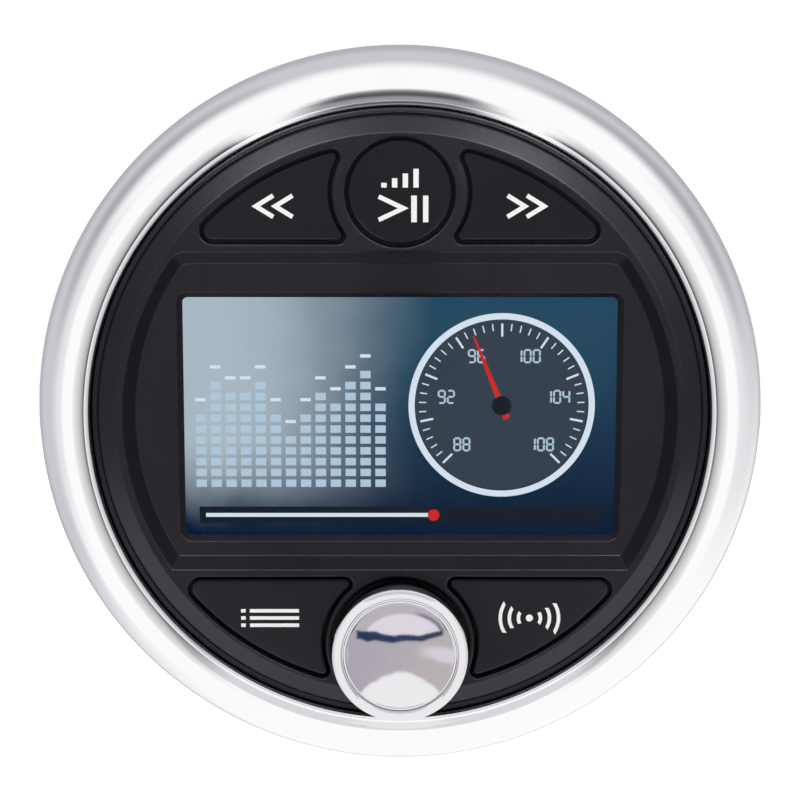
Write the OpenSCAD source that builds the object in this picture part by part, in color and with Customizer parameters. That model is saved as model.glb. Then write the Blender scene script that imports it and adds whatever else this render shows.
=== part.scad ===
// Round gauge-hole marine stereo: chrome bezel, black fascia with a display, five keys and a knob,
// a rear can that passes through the panel, and a clamp bracket that draws it against the panel.
// Every piece is drawn face up: z = 0 is the front of the panel, +z points at the user, +y is up.
// upright() then turns it so that the face looks along -Y and +Z is up.

/* [Bezel] */
// Distance from the bezel's opening to its crest
bezel_crest_w = 3.1; // [2.8:0.1:3.6]
// Distance from the crest to the bezel's outer edge
bezel_side_w = 5.7; // [5:0.1:8]
// Height of the bezel's crest above the panel
bezel_h = 12; // [11.6:0.1:13]
// Height at which the bezel is widest
bezel_widest_h = 2.4; // [2:0.1:3]
// Radius of the roll from the crest to the lip
bezel_roll_r = 2.7; // [2.4:0.1:3]
// Drop from the crest to the flat lip round the opening
bezel_lip_drop = 1.3; // [1:0.1:1.6]
// Thickness of the bezel's shell
bezel_wall = 1.5; // [1.2:0.1:1.8]
// Width of the bezel's inner skirt
bezel_foot_w = 1.4; // [1:0.1:1.4]
// Width of the bezel's edge round the flanges
bezel_grip_w = 2.75; // [2:0.05:3.5]

/* [Fascia] */
// Height of the fascia's flat top above the panel
plateau_h = 11; // [10.6:0.1:12]
// Thickness of the fascia's plate
face_t = 1.8; // [1.5:0.1:2]
// Thickness of the fascia's side wall
fascia_wall = 1.8; // [1.5:0.1:2]
// Width of the groove between the bezel and the shoulder
groove_w = 1.2; // [0.8:0.1:1.4]
// Depth of that groove below the flat top
groove_d = 1.6; // [1.2:0.1:1.8]
// Width of the rounded shoulder
shoulder_w = 2.4; // [2:0.1:2.8]
// Thickness of the fascia's flange
fascia_flange_t = 2.5; // [2:0.1:3]
// Radial gap between the fascia and the bezel's opening
bezel_gap = 0.1; // [0.05:0.05:0.2]

/* [Display] */
// Width of the visible window
window_w = 66.4; // [62:0.2:68]
// Height of the visible window
window_h = 37; // [34:0.2:38]
// Height of the sunk panel above the window
recess_over = 6.6; // [6:0.1:7.5]
// Height of the sunk panel below the window
recess_under = 5.2; // [4.6:0.1:6]
// Least distance from the window's corners to the edge of the flat top
corner_border = 5.4; // [4.8:0.1:7]
// Depth of the sunk panel
recess_d = 1.4; // [1:0.1:1.6]
// Run of the sunk panel's sloping top and bottom
recess_run = 1.9; // [1.4:0.1:2.2]
// Run of its sloping sides
recess_side_run = 1; // [0.6:0.1:1.4]
// Width of the flat rim between the shoulder and the sunk panel
recess_rim = 1.5; // [1.3:0.1:2]
// Width of the bevel round the window
window_bevel = 0.8; // [0.5:0.1:1]
// Depth of that bevel
window_bevel_d = 0.9; // [0.6:0.1:1]
// Overlap of the lens behind the window's edge
lens_lap = 2; // [1.5:0.1:2.5]
// Border of the display module round the window
display_border = 3; // [2.6:0.1:3.2]
// Thickness of the display module
display_t = 4; // [3.4:0.1:4.2]
// Thickness of the display's glass
glass_t = 1.4; // [1:0.1:1.6]
// Thickness of the display's pressed frame
frame_t = 0.3; // [0.2:0.1:0.4]
// Wall of the cradle that holds the display
cradle_wall = 1.6; // [1.2:0.1:1.8]

/* [Keys] */
// Gap round each key
key_gap = 0.42; // [0.3:0.02:0.5]
// Depth of the keys' tops below the flat top
key_sunk = 0.2; // [0:0.05:0.4]
// How far a key travels
key_travel = 0.6; // [0.3:0.05:0.8]
// Diameter of the round play key's opening
play_open_d = 16.5; // [15.6:0.1:17]
// Least rim between the play key and the edge of the flat top
play_rim = 0.85; // [0.5:0.05:1.5]
// Bar between the play key and the sunk panel
play_bar = 1.05; // [0.8:0.05:2]
// Width of the rib between the play key and its neighbours
rib_w = 2; // [1.9:0.1:2.2]
// Bar between the upper keys and the sunk panel
upper_bar = 1.1; // [0.9:0.1:1.5]
// Bar between the lower keys and the sunk panel
lower_bar = 1.2; // [1:0.1:1.6]
// Least rim between the shoulder and the upper keys
upper_rim = 1.4; // [1:0.1:1.8]
// Least rim between the shoulder and the lower keys
lower_rim = 0.7; // [0.5:0.1:1.2]
// Radius of the keys' outer corners
outer_corner_r = 2; // [1.6:0.1:2.4]
// Radius of the keys' inner corners
inner_corner_r = 1.2; // [1:0.1:1.4]
// Width of the flange that keeps a key behind the fascia
key_flange_w = 0.8; // [0.5:0.1:0.9]
// Thickness of that flange
key_flange_t = 1; // [0.8:0.1:1.2]

/* [Knob] */
// Diameter of the knob
knob_d = 20.9; // [19:0.1:21]
// Height of the knob's rim above the flat top
knob_proud = 6.6; // [5.5:0.1:9]
// Least gap between the knob's side and the bezel's opening
knob_edge = 1.15; // [0.6:0.05:2]
// Bar between the knob's well and the sunk panel
well_bar = 1.15; // [0.8:0.05:2]
// Gap between the knob and its well
well_gap = 0.3; // [0.2:0.05:0.4]
// Wall between the well and the lower keys
well_wall = 0.8; // [0.7:0.1:1]
// Depth of the well below the flat top
well_d = 2; // [1.8:0.1:2.4]
// Width of the knob's rim round the dished insert
knob_rim_w = 1.75; // [1.6:0.05:3.4]
// Depth of the dish
dish_depth = 1.3; // [0.6:0.1:1.5]
// Rounding of the knob's rim
knob_round = 0.9; // [0.5:0.1:1.2]
// How far the knob pushes in
knob_travel = 0.8; // [0.4:0.1:1]
// Diameter of the encoder's shaft
shaft_d = 6; // [5.6:0.1:6.4]
// Depth of the flat on the shaft
shaft_flat = 1.5; // [1:0.1:1.8]

/* [Rear can] */
// Step from the fascia's side in to the can, which passes through the panel
can_step = 1.1; // [0.8:0.1:1.5]
// Wall of the can
can_wall = 2; // [1.6:0.1:2.4]
// Length of the can behind the panel
can_len = 50; // [46:0.5:60]
// Thickness of the can's flange
can_flange_t = 2; // [1.9:0.1:2.5]
// Thickness of the panel gasket
gasket_t = 1.5; // [1.2:0.1:2]
// Width of the panel gasket
gasket_w = 5.5; // [4:0.1:5.8]
// Thickness of the rear cover
cover_t = 2.5; // [2:0.1:3]
// Thickness of the seal under the rear cover
rear_seal_t = 0.8; // [0.6:0.1:1.2]
// Room between the main board and the rear cover
socket_room = 15.2; // [14.6:0.1:18]
// Thickness of both circuit boards
board_t = 1.6; // [1:0.1:2]
// Diameter of the posts inside the can
post_d = 6.4; // [6:0.1:7]

/* [Panel clamp] */
// Thickness of panel that the clamp stands off at rest
panel_t = 8; // [6:0.5:12]
// Distance between the two studs
stud_span = 68; // [64:0.5:70]
// Diameter of the studs
stud_d = 4; // [3.5:0.1:4.5]
// Length of the studs behind the rear cover
stud_len = 28; // [24:0.5:36]
// Width of the bracket's strap
strap_w = 16; // [12:0.5:16]
// Thickness of the strap
strap_t = 1.5; // [1.2:0.1:2]
// Gap between the rear cover and the strap at rest
strap_gap = 7; // [6.5:0.1:8]
// Gap between the can and the bracket's legs
leg_gap = 5; // [4:0.1:5.5]
// Length of the bracket's feet
foot_l = 4.5; // [3.5:0.1:6]

/* [Hidden] */
$fn = 96;

// Spare length of a cut past the face that it opens
cut = 1;
// Running clearance of a shaft or plunger in its bore, on the radius
slide_fit = 0.08;
// Clearance of a piece that is only laid in its pocket
seat_gap = 0.2;
// Clearance of a piece that is pressed in, and of faces that only just clear each other
press_gap = 0.05;
touch_gap = 0.1;

// Heights of the front, from the panel outwards
can_top = gasket_t + can_flange_t;
fascia_flange_top = can_top + fascia_flange_t;
plate_back = plateau_h - face_t;
recess_floor = plateau_h - recess_d;
tray_back = recess_floor - face_t;
lens_front = recess_floor - window_bevel_d;
well_floor = plateau_h - well_d;
well_back = well_floor - face_t;
groove_floor = plateau_h - groove_d;

// What the flat top has to hold: the keys above the window, the knob below it, and its corners
recess_top = window_h / 2 + recess_over;
recess_low = window_h / 2 + recess_under;
play_open_r = play_open_d / 2;
knob_r = knob_d / 2;
well_r = knob_r + well_gap;
edge_w = shoulder_w + groove_w + bezel_gap;
upper_reach = recess_top + play_bar + play_open_d + play_rim;
lower_reach = recess_low + well_bar + well_r + knob_r + knob_edge - edge_w;
corner_reach = norm([window_w, window_h]) / 2 + corner_border;

// Radii, from the flat top outwards
plateau_r = max(upper_reach, lower_reach, corner_reach);
recess_r = plateau_r - recess_rim;
fascia_r = plateau_r + shoulder_w + groove_w;
fascia_cavity_r = fascia_r - fascia_wall;
bezel_bore_r = plateau_r + edge_w;
bezel_crest_r = bezel_bore_r + bezel_crest_w;
bezel_r = bezel_crest_r + bezel_side_w;
flange_r = bezel_r - bezel_grip_w - press_gap;
can_r = fascia_r - can_step;
can_bore_r = can_r - can_wall;

// Places on the face, as distances above or below its middle
play_y = recess_top + play_bar + play_open_r;
knob_y = recess_low + well_bar + well_r;
upper_key_y = recess_top + upper_bar;
lower_key_y = recess_low + lower_bar;

// Bezel: the outer arc that is tangent to the widest circle and to the roll at the crest
crest_up = bezel_h - bezel_roll_r - bezel_widest_h;
bezel_arc_r = (bezel_side_w ^ 2 + crest_up ^ 2 - bezel_roll_r ^ 2)
    / (2 * (bezel_side_w - bezel_roll_r));
bezel_arc_c = [bezel_r - bezel_arc_r, bezel_widest_h];
roll_c = [bezel_crest_r, bezel_h - bezel_roll_r];
tangent_deg = atan2(roll_c.y - bezel_arc_c.y, roll_c.x - bezel_arc_c.x);
lip_deg = 180 - asin((bezel_roll_r - bezel_lip_drop) / bezel_roll_r);
bezel_lip_h = bezel_h - bezel_lip_drop;
bezel_lap = 0.5;
bezel_back = gasket_t - bezel_lap;
bezel_edge = 0.4;
bezel_hollow_rise = 0.5;

// Screws: heads, shanks and pilot holes, as radii
screw_head_r = 1.9;
screw_head_t = 1.2;
screw_r = 0.9;
pilot_r = screw_r + press_gap;
screw_pass_r = screw_r + seat_gap;
big_screw_head_r = 2.6;
big_screw_head_t = 2;
big_screw_r = 1.3;
big_pilot_r = big_screw_r + press_gap;
big_pass_r = big_screw_r + seat_gap;
big_screw_l = 7;
face_screw_count = 6;
face_screw_rim = 0.4;
face_screw_r = flange_r - screw_head_r - face_screw_rim;
face_screw_deg = 30;
boss_r = screw_head_r;
boss_h = 1.4;

// Seal between the can and the fascia
seal_w = 1.6;
seal_d = 1.2;
seal_r = (face_screw_r - screw_head_r + fascia_r) / 2;

// Front board, and what stands on it
board_sink = 0.5;
board_top = can_top - board_sink;
board_back = board_top - board_t;
board_gap = 0.5;
front_board_r = can_bore_r - board_gap;
display_w = window_w + 2 * display_border;
display_foot = 1.4;
display_h = window_h + 2 * display_border + display_foot;
display_front = tray_back - touch_gap;
display_back = display_front - display_t;
cradle_w = display_w + 2 * (cradle_wall + seat_gap);
cradle_h = display_h + 2 * (cradle_wall + seat_gap);
board_boss_r = 1.9;
board_boss_gap = 0.4;
board_boss_x = cradle_w / 2 + board_boss_r + board_boss_gap;
board_screw_grip = 3.6;
board_boss_y = 9;
board_boss_at = [for (x = [-1, 1], y = [-1, 1]) [x * board_boss_x, y * board_boss_y]];
switch_w = 6;
switch_t = 3.4;
switch_top = board_top + switch_t;
plunger_r = 1.7;
plunger_top = switch_top + key_travel + 0.2;
plunger_back = switch_top - 1.2;
stem_r = 2.4;
led_size = [1.6, 0.8, 0.8];
led_x = 5.4;

// Openings of the keys that are not round, drawn for the upper left key:
// [outer arc radius, straight edge, centre of the hollow side, its radius,
//  outer corner, upper inner corner, lower inner corner]
upper_open = [upper_reach - upper_rim, upper_key_y, play_y, play_open_r + rib_w,
    outer_corner_r, inner_corner_r, inner_corner_r];
lower_open = [lower_reach - lower_rim, lower_key_y, knob_y, well_r + well_wall,
    outer_corner_r, inner_corner_r, inner_corner_r];
key_top = plateau_h - key_sunk;
key_flange_top = plate_back - touch_gap;
key_flange_back = key_flange_top - key_flange_t;
well_clear = 0.65;
well_land = 0.3;
cup_r = well_r + well_wall + well_land;
upper_flange = [upper_open[0] + key_flange_w, upper_open[1] - key_flange_w, play_y,
    upper_open[3] - key_flange_w, outer_corner_r, inner_corner_r, inner_corner_r];
lower_flange = [lower_open[0] + key_flange_w, lower_open[1] - key_flange_w, knob_y,
    lower_open[3] + well_clear, outer_corner_r, inner_corner_r, inner_corner_r];
key_stem_in = 9.6;
key_stem_up = 5.6;
upper_switch = [upper_open[3] + key_stem_in, upper_key_y + key_stem_up];
lower_switch = [lower_open[3] + key_stem_in, lower_key_y + key_stem_up];
switch_at = [[0, play_y], [-upper_switch.x, upper_switch.y], upper_switch,
    -lower_switch, [lower_switch.x, -lower_switch.y]];

// Knob and encoder, on the knob's axis
knob_front = plateau_h + knob_proud;
knob_back = well_floor + knob_travel + 0.4;
knob_draft = 0.25;
knob_wall = 1.3;
shaft_r = shaft_d / 2;
bush_wall = 0.5;
bush_r = shaft_r + slide_fit + bush_wall;
bush_top = well_floor + 1.4;
hub_r = bush_r + 1.1;
hub_back = bush_top + knob_travel + 0.3;
dish_r = knob_r - knob_rim_w;
dish_seat = knob_front - dish_depth - 1.3;
dish_rim = 0.35;
dish_sink = 0.3;
web_t = 1.2;
web_back = dish_seat - web_t;
shaft_top = dish_seat - 0.2;
encoder_w = 12;
encoder_floor = board_top + 0.6;
encoder_plunger_t = 0.9;
encoder_plunger_back = encoder_floor + knob_travel + 0.3;
shaft_back = encoder_plunger_back + encoder_plunger_t + press_gap;
knob_seal_w = 1.7;
knob_seal_t = 0.9;

// Rear of the can, from the panel backwards
can_end = -can_len;
cover_front = can_end - rear_seal_t;
cover_back = cover_front - cover_t;
cover_r = can_r - 0.4;
main_back = cover_front + socket_room;
main_top = main_back + board_t;
main_board_r = can_bore_r - 0.6;
post_r = post_d / 2;
post_root = 0.1;
post_at = can_bore_r - post_r + post_root;
post_xy = post_at / sqrt(2);
post_centres = [for (x = [-1, 1], y = [-1, 1]) [x * post_xy, y * post_xy]];
rear_seal_w = can_wall - 0.6;

// Heat sink and the chip that it cools
sink_size = [44, 22, 3];
sink_y = 23;
sink_boss = [29, 13];
sink_boss_h = 2.8;
sink_head_r = 2.3;
sink_screw_inset = 2.6;
sink_screw_x = sink_size.x / 2 - sink_screw_inset;
fin_count = 9;
fin_t = 1.4;
fin_h = 8;
fin_gap = 0.4;
fin_pitch = 2 * (sink_screw_x - sink_head_r - fin_gap - fin_t / 2) / (fin_count - 1);
chip_size = [28, 12, 4.5];
chip_pins = 13;
chip_pin = 0.7;
chip_front = cover_front + sink_boss_h + chip_size.z;

// Sockets: where they stand on the main board, and their sizes
harness_at = [0, -27];
harness_size = [30, 12];
harness_wall = 1.4;
harness_depth = 10;
harness_back = cover_back - 0.7;
harness_cols = 8;
harness_pitch = 3;
harness_pin_w = 0.8;
harness_pin_l = 6;
antenna_at = [-30, 18];
antenna_base = [12, 12, 6];
antenna_r = 6;
antenna_bore_r = 4.75;
antenna_depth = 12;
antenna_back = cover_back - 3.7;
antenna_pin_r = 1.6;
rca_x = [-18, -29];
rca_y = -15.5;
rca_block_size = [22, 10, 9];
rca_r = 4.15;
rca_wall = 0.4;
rca_bore_r = 1.6;
rca_depth = 9;
rca_back = cover_back - 6.5;
usb_at = [24, -15.5];
usb_size = [14, 7];
usb_wall = 0.5;
usb_back = cover_back - 1.7;
usb_tongue_size = [11, 1.9];
opening_gap = 0.3;

// Parts on the main board's front
capacitor_at = [[-21, -10], [0, -14]];
capacitor_r = 7.9;
capacitor_l = 22;
tuner_at = [18, 14];
tuner_size = [26, 20, 7];
processor_at = [-18, 14];
processor_size = [14, 14, 1.6];
choke_at = [23, -14];
choke_r = 7;
choke_wire_r = 3;
ribbon_w = 20;
ribbon_t = 0.3;
ribbon_y = 29;
ribbon_bow = 4;
ribbon_socket = [23, 4.5, 3];

// Panel clamp
stud_r = stud_d / 2;
stud_x = stud_span / 2;
stud_end = cover_back - stud_len;
stud_head_rim = 2;
stud_head_r = stud_r + stud_head_rim;
stud_head_t = 2.5;
strap_front = cover_back - strap_gap;
strap_back = strap_front - strap_t;
leg_x = can_r + leg_gap;
leg_front = -panel_t;
bend_r = 2;
foot_bend_r = 0.6;
washer_rim = 2.4;
washer_r = stud_r + washer_rim;
washer_t = 1;
nut_rim = 2.2;
nut_r = stud_r + nut_rim;
nut_t = 4.5;
wing_l = 6;
wing_t = 1.8;
wing_h = 6.5;

// Points along an arc about c, from angle a to angle b in n steps
function arc(c, r, a, b, n) =
    [for (i = [0 : n]) c + r * [cos(a + (b - a) * i / n), sin(a + (b - a) * i / n)]];

// An outline made smaller by d on every side
function inset(o, d) = [o[0] - d, o[1] + d, o[2], o[3] + d, o[4] - d, o[5] - d, o[6] - d];

// Outline of a key between an outer arc, a straight edge and a hollow side, with round corners
function key_outline(o) =
    let (hollow = [0, o[2]],
         a_y = o[1] + o[4],
         a = [-sqrt((o[0] - o[4]) ^ 2 - a_y ^ 2), a_y],
         b_y = ((o[0] - o[5]) ^ 2 - (o[3] + o[5]) ^ 2 + o[2] ^ 2) / (2 * o[2]),
         b = [-sqrt((o[0] - o[5]) ^ 2 - b_y ^ 2), b_y],
         c_y = o[1] + o[6],
         c = [-sqrt((o[3] + o[6]) ^ 2 - (c_y - o[2]) ^ 2), c_y],
         a_out = atan2(a.y, a.x),
         b_out = atan2(b.y, b.x),
         b_in = atan2(hollow.y - b.y, -b.x),
         c_in = atan2(hollow.y - c.y, -c.x))
    concat(arc(c, o[6], -90, c_in, 6),
        arc(hollow, o[3], c_in + 180, b_in + 180, 16),
        arc(b, o[5], b_in, b_out, 6),
        arc([0, 0], o[0], b_out, a_out, 20),
        arc(a, o[4], a_out, 270, 8));

// Turns a piece from face up to standing, with its face along -Y
module upright() rotate([90, 0, 0]) children();

// A cylinder between two heights
module disc(r, from, to, at = [0, 0]) translate([at.x, at.y, min(from, to)])
    cylinder(r = r, h = abs(to - from));

// A ring between two heights
module ring(outer, inner, from, to) difference() {
    disc(outer, from, to);
    disc(inner, min(from, to) - cut, max(from, to) + cut);
}

// A block centred on a point, between two heights
module block(size, from, to, at = [0, 0])
    translate([at.x - size.x / 2, at.y - size.y / 2, min(from, to)])
        cube([size.x, size.y, abs(to - from)]);

// A flat outline drawn between two heights
module plate(points, from, to) translate([0, 0, min(from, to)])
    linear_extrude(abs(to - from)) polygon(points);

// The outline of an upper key, placed for either side
module upper_plate(o, side, from, to) mirror([side > 0 ? 1 : 0, 0, 0])
    plate(key_outline(o), from, to);

// The outline of a lower key, placed for either side
module lower_plate(o, side, from, to) mirror([0, 1, 0]) upper_plate(o, side, from, to);

// A screw whose head stands at a height, with its shank pointing up or down
module screw(at, head_r, head_t, shank_r, shank_l, face, up) {
    way = up ? 1 : -1;
    disc(head_r, face - way * head_t, face, at);
    disc(shank_r, face, face + way * shank_l, at);
}

// Chrome ring: a thin shell with an inner skirt that stands on the fascia's flange
module bezel_profile() difference() {
    polygon(concat([[flange_r + press_gap, bezel_back], [bezel_r - bezel_edge, bezel_back],
            [bezel_r, bezel_back + bezel_edge]],
        arc(bezel_arc_c, bezel_arc_r, 0, tangent_deg, 20),
        arc(roll_c, bezel_roll_r, tangent_deg, lip_deg, 16),
        [[bezel_bore_r, bezel_lip_h], [bezel_bore_r, fascia_flange_top]]));
    polygon(concat([[bezel_bore_r + bezel_foot_w, fascia_flange_top - cut],
            [flange_r + press_gap, fascia_flange_top - cut]],
        arc(bezel_arc_c, bezel_arc_r - bezel_wall,
            asin((fascia_flange_top + bezel_hollow_rise - bezel_arc_c.y)
                / (bezel_arc_r - bezel_wall)), tangent_deg, 10),
        arc(roll_c, bezel_roll_r - bezel_wall, tangent_deg, 150, 6),
        [[bezel_bore_r + bezel_foot_w, roll_c.y]]));
    translate([0, fascia_flange_top - bezel_h]) square([flange_r + press_gap, bezel_h]);
}

module bezel_ring() color("gainsboro") upright() rotate_extrude($fn = 180) bezel_profile();

// Sunk panel round the window, cut with sloping sides
module recess_cut() {
    rise = 0.5;
    grow = rise / recess_d;
    side = recess_side_run * grow;
    run = recess_run * grow;
    intersection() {
        translate([0, 0, recess_floor]) cylinder(r1 = recess_r - recess_side_run,
            r2 = recess_r + side, h = recess_d + rise);
        rotate([90, 0, 90]) linear_extrude(4 * recess_r, center = true) polygon([
            [recess_run - recess_low, recess_floor], [recess_top - recess_run, recess_floor],
            [recess_top + run, plateau_h + rise], [-recess_low - run, plateau_h + rise]]);
    }
}

// Window through the fascia with its bevel, and the seat of the lens behind it
module window_cut() {
    slope = window_bevel / window_bevel_d;
    rise = 0.3;
    block([window_w, window_h], tray_back - cut, recess_floor);
    intersection() {
        rotate([90, 0, 0]) linear_extrude(2 * window_h, center = true)
            bevel_section(window_w / 2, slope, rise);
        rotate([90, 0, 90]) linear_extrude(2 * window_w, center = true)
            bevel_section(window_h / 2, slope, rise);
    }
    block([window_w + 2 * lens_lap, window_h + 2 * lens_lap], tray_back - cut, lens_front);
}

module bevel_section(half, slope, rise) polygon([[-half, lens_front], [half, lens_front],
    [half + slope * (window_bevel_d + rise), recess_floor + rise],
    [-half - slope * (window_bevel_d + rise), recess_floor + rise]]);

// Fascia's outer form: flange, side wall, rounded shoulder and flat top, hollow behind
module fascia_shell() difference() {
    union() {
        rotate_extrude($fn = 180) polygon(concat(
            [[0, can_top], [flange_r, can_top], [flange_r, fascia_flange_top],
                [fascia_r, fascia_flange_top], [fascia_r, groove_floor]],
            [for (i = [0 : 10]) [plateau_r + shoulder_w * cos(i * 9), groove_floor
                + groove_d * sin(i * 9)]],
            [[0, plateau_h]]));
        for (i = [1 : face_screw_count]) rotate(face_screw_deg + i * 360 / face_screw_count)
            disc(boss_r, can_top, fascia_flange_top + boss_h, [face_screw_r, 0]);
    }
    difference() {
        disc(fascia_cavity_r, can_top - cut, plate_back);
        intersection() {
            disc(plateau_r, tray_back, plateau_h);
            block([2 * plateau_r, recess_top + recess_low - 0.5], tray_back, plateau_h,
                [0, (recess_top - recess_low) / 2]);
        }
        disc(cup_r, well_back, plateau_h, [0, -knob_y]);
        for (p = board_boss_at) disc(board_boss_r, board_top, plateau_h, p);
    }
}

module front_fascia() color("#26262a") upright() difference() {
    fascia_shell();
    recess_cut();
    window_cut();
    disc(play_open_r, tray_back, plateau_h + cut, [0, play_y]);
    for (side = [-1, 1]) {
        upper_plate(upper_open, side, tray_back, plateau_h + cut);
        lower_plate(lower_open, side, well_back - cut, plateau_h + cut);
    }
    disc(well_r, well_floor, plateau_h + cut, [0, -knob_y]);
    disc(bush_r + seat_gap, well_back - cut, plateau_h, [0, -knob_y]);
    for (p = board_boss_at) disc(pilot_r, board_top - cut, tray_back - 0.4, p);
    for (i = [1 : face_screw_count]) rotate(face_screw_deg + i * 360 / face_screw_count)
        disc(pilot_r, can_top - cut, fascia_flange_top + boss_h - 0.6, [face_screw_r, 0]);
}

// Clear window, seated in the back of the fascia
module display_lens() color("#203040") upright()
    block([window_w, window_h] + 2 * (lens_lap - touch_gap) * [1, 1], tray_back, lens_front);

// Display module: pressed frame, glass and backlight
module display_frame() color("silver") upright() difference() {
    block([display_w, display_h], display_back, display_front);
    block([window_w + 1, window_h + 1], display_back, display_front + cut);
    block([display_w, display_h] - 2 * frame_t * [1, 1], display_back - cut,
        display_front - frame_t);
}

module display_layer(from, to)
    block([display_w, display_h] - 2 * (frame_t + touch_gap) * [1, 1], from, to);

module display_panel() color("#1d5f83") upright()
    display_layer(display_front - frame_t - glass_t, display_front - frame_t);

module display_backlight() color("whitesmoke") upright()
    display_layer(display_back, display_front - frame_t - glass_t);

// Plastic frame that holds the display square, its corners rounded to clear the can
module display_cradle() color("#303034") upright() difference() {
    intersection() {
        block([cradle_w, cradle_h], board_top, tray_back);
        disc(front_board_r, board_top, tray_back);
    }
    block([display_w, display_h] + 2 * seat_gap * [1, 1], board_top - cut, tray_back + cut);
    disc(cup_r + seat_gap, board_top - cut, tray_back + cut, [0, -knob_y]);
}

// Foam that presses the display forward
module display_pad() color("dimgray") upright()
    block([window_w, window_h] - [8, 8], board_top, display_back);

// Keys: a cap in the opening, a flange behind the fascia and a stem down to its switch
module key_stem(i) disc(stem_r, plunger_top, key_flange_back, switch_at[i]);

module key_play() color("#2b2b30") upright() {
    disc(play_open_r - key_gap, key_flange_back, key_top, [0, play_y]);
    disc(play_open_r + key_flange_w, key_flange_back, key_flange_top, [0, play_y]);
    key_stem(0);
}

module upper_key(side, i) color("#2b2b30") upright() {
    upper_plate(inset(upper_open, key_gap), side, key_flange_back, key_top);
    upper_plate(upper_flange, side, key_flange_back, key_flange_top);
    key_stem(i);
}

module lower_key(side, i) color("#2b2b30") upright() {
    lower_plate(inset(lower_open, key_gap), side, key_flange_back, key_top);
    lower_plate(lower_flange, side, key_flange_back, key_flange_top);
    key_stem(i);
}

module switch_plunger(i) color("saddlebrown") upright()
    disc(plunger_r, plunger_back, plunger_top, switch_at[i]);

module switch_bodies() color("silver") upright() for (p = switch_at) difference() {
    block([switch_w, switch_w], board_top, switch_top, p);
    disc(plunger_r + slide_fit, plunger_back - key_travel - 0.2, switch_top + cut, p);
}

module key_leds() color("ivory") upright() for (p = switch_at, x = [-1, 1])
    block(led_size, board_top, board_top + led_size.z, p + [x * led_x, 0]);

module front_board() color("darkgreen") upright() difference() {
    disc(front_board_r, board_back, board_top);
    for (p = board_boss_at) disc(screw_pass_r, board_back - cut, board_top + cut, p);
}

module board_screws() color("silver") upright() for (p = board_boss_at)
    screw(p, screw_head_r - seat_gap, screw_head_t, screw_r, board_t + board_screw_grip,
        board_back, true);

// Knob: a chromed sleeve on the encoder's shaft, with a dished insert in its front
module knob_sleeve() color("gainsboro") upright() translate([0, -knob_y, 0]) difference() {
    rotate_extrude($fn = 144) polygon(concat(
        [[shaft_r - shaft_flat, hub_back], [hub_r, hub_back], [hub_r, web_back],
            [knob_r - knob_draft - knob_wall, web_back],
            [knob_r - knob_draft - knob_wall, knob_back],
            [knob_r - knob_draft, knob_back]],
        arc([knob_r - knob_round, knob_front - knob_round], knob_round, 0, 90, 8),
        [[dish_r, knob_front], [dish_r, dish_seat], [shaft_r - shaft_flat, dish_seat]]));
    shaft_form(press_gap, hub_back - cut, dish_seat + touch_gap);
}

// The shaft's D section, grown by a clearance
module shaft_form(gap, from, to) difference() {
    disc(shaft_r + gap, from, to);
    block([2 * shaft_d, shaft_d], from - cut, to + cut,
        [0, shaft_r - shaft_flat + gap + shaft_d / 2]);
}

module knob_dish() color("whitesmoke") upright() translate([0, -knob_y, 0]) difference() {
    top = knob_front - dish_sink;
    hollow_r = dish_r - dish_rim;
    ball_r = (hollow_r ^ 2 + dish_depth ^ 2) / (2 * dish_depth);
    disc(dish_r - press_gap, dish_seat, top);
    translate([0, 0, top - dish_depth + ball_r]) sphere(r = ball_r, $fn = 144);
}

module encoder_shaft() color("silver") upright() translate([0, -knob_y, 0]) {
    disc(shaft_r, shaft_back, hub_back - 0.2);
    shaft_form(0, hub_back - 0.2, shaft_top);
}

module encoder_body() color("slategray") upright() translate([0, -knob_y, 0]) difference() {
    union() {
        block([encoder_w, encoder_w], board_top, well_back);
        disc(bush_r, well_back, bush_top);
    }
    disc(shaft_r + slide_fit, encoder_floor, bush_top + cut);
}

module encoder_plunger() color("white") upright()
    disc(shaft_r, encoder_plunger_back, encoder_plunger_back + encoder_plunger_t, [0, -knob_y]);

module knob_seal() color("#151515") upright() translate([0, -knob_y, 0])
    ring(bush_r + press_gap + knob_seal_w, bush_r + press_gap, well_floor, well_floor + knob_seal_t);

// Seals and the can
module face_seal() color("#151515") upright()
    ring(seal_r + seal_w / 2, seal_r - seal_w / 2, can_top - seal_d, can_top);

module panel_gasket() color("#151515") upright()
    ring(flange_r - 0.6, flange_r - 0.6 - gasket_w, 0, gasket_t);

module rear_can() color("#222226") upright() difference() {
    union() {
        disc(flange_r, gasket_t, can_top);
        disc(can_r, can_end, can_top);
    }
    difference() {
        disc(can_bore_r, can_end - cut, can_top + cut);
        for (p = post_centres) disc(post_r, cover_front, main_back, p);
    }
    difference() {
        disc(can_r + cut, can_end - cut, can_end);
        for (p = post_centres) disc(post_r, cover_front, can_end, p);
    }
    ring(seal_r + seal_w / 2 + press_gap, seal_r - seal_w / 2 - press_gap, can_top - seal_d,
        can_top + cut);
    for (p = post_centres) {
        disc(big_pilot_r, cover_front - cut, cover_front + big_screw_l - cover_t + 0.5, p);
        disc(big_pilot_r, main_back + cut, main_back - big_screw_l + board_t - 0.5, p);
    }
    for (i = [1 : face_screw_count]) rotate(face_screw_deg + i * 360 / face_screw_count) {
        disc(screw_pass_r, gasket_t - cut, can_top + cut, [face_screw_r, 0]);
        disc(screw_head_r + touch_gap, gasket_t - cut, gasket_t + screw_head_t, [face_screw_r, 0]);
    }
}

module face_screws() color("silver") upright()
    for (i = [1 : face_screw_count]) rotate(face_screw_deg + i * 360 / face_screw_count)
        screw([face_screw_r, 0], screw_head_r, screw_head_t, screw_r,
            fascia_flange_top + boss_h - 0.8 - gasket_t - screw_head_t,
            gasket_t + screw_head_t, true);

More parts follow.
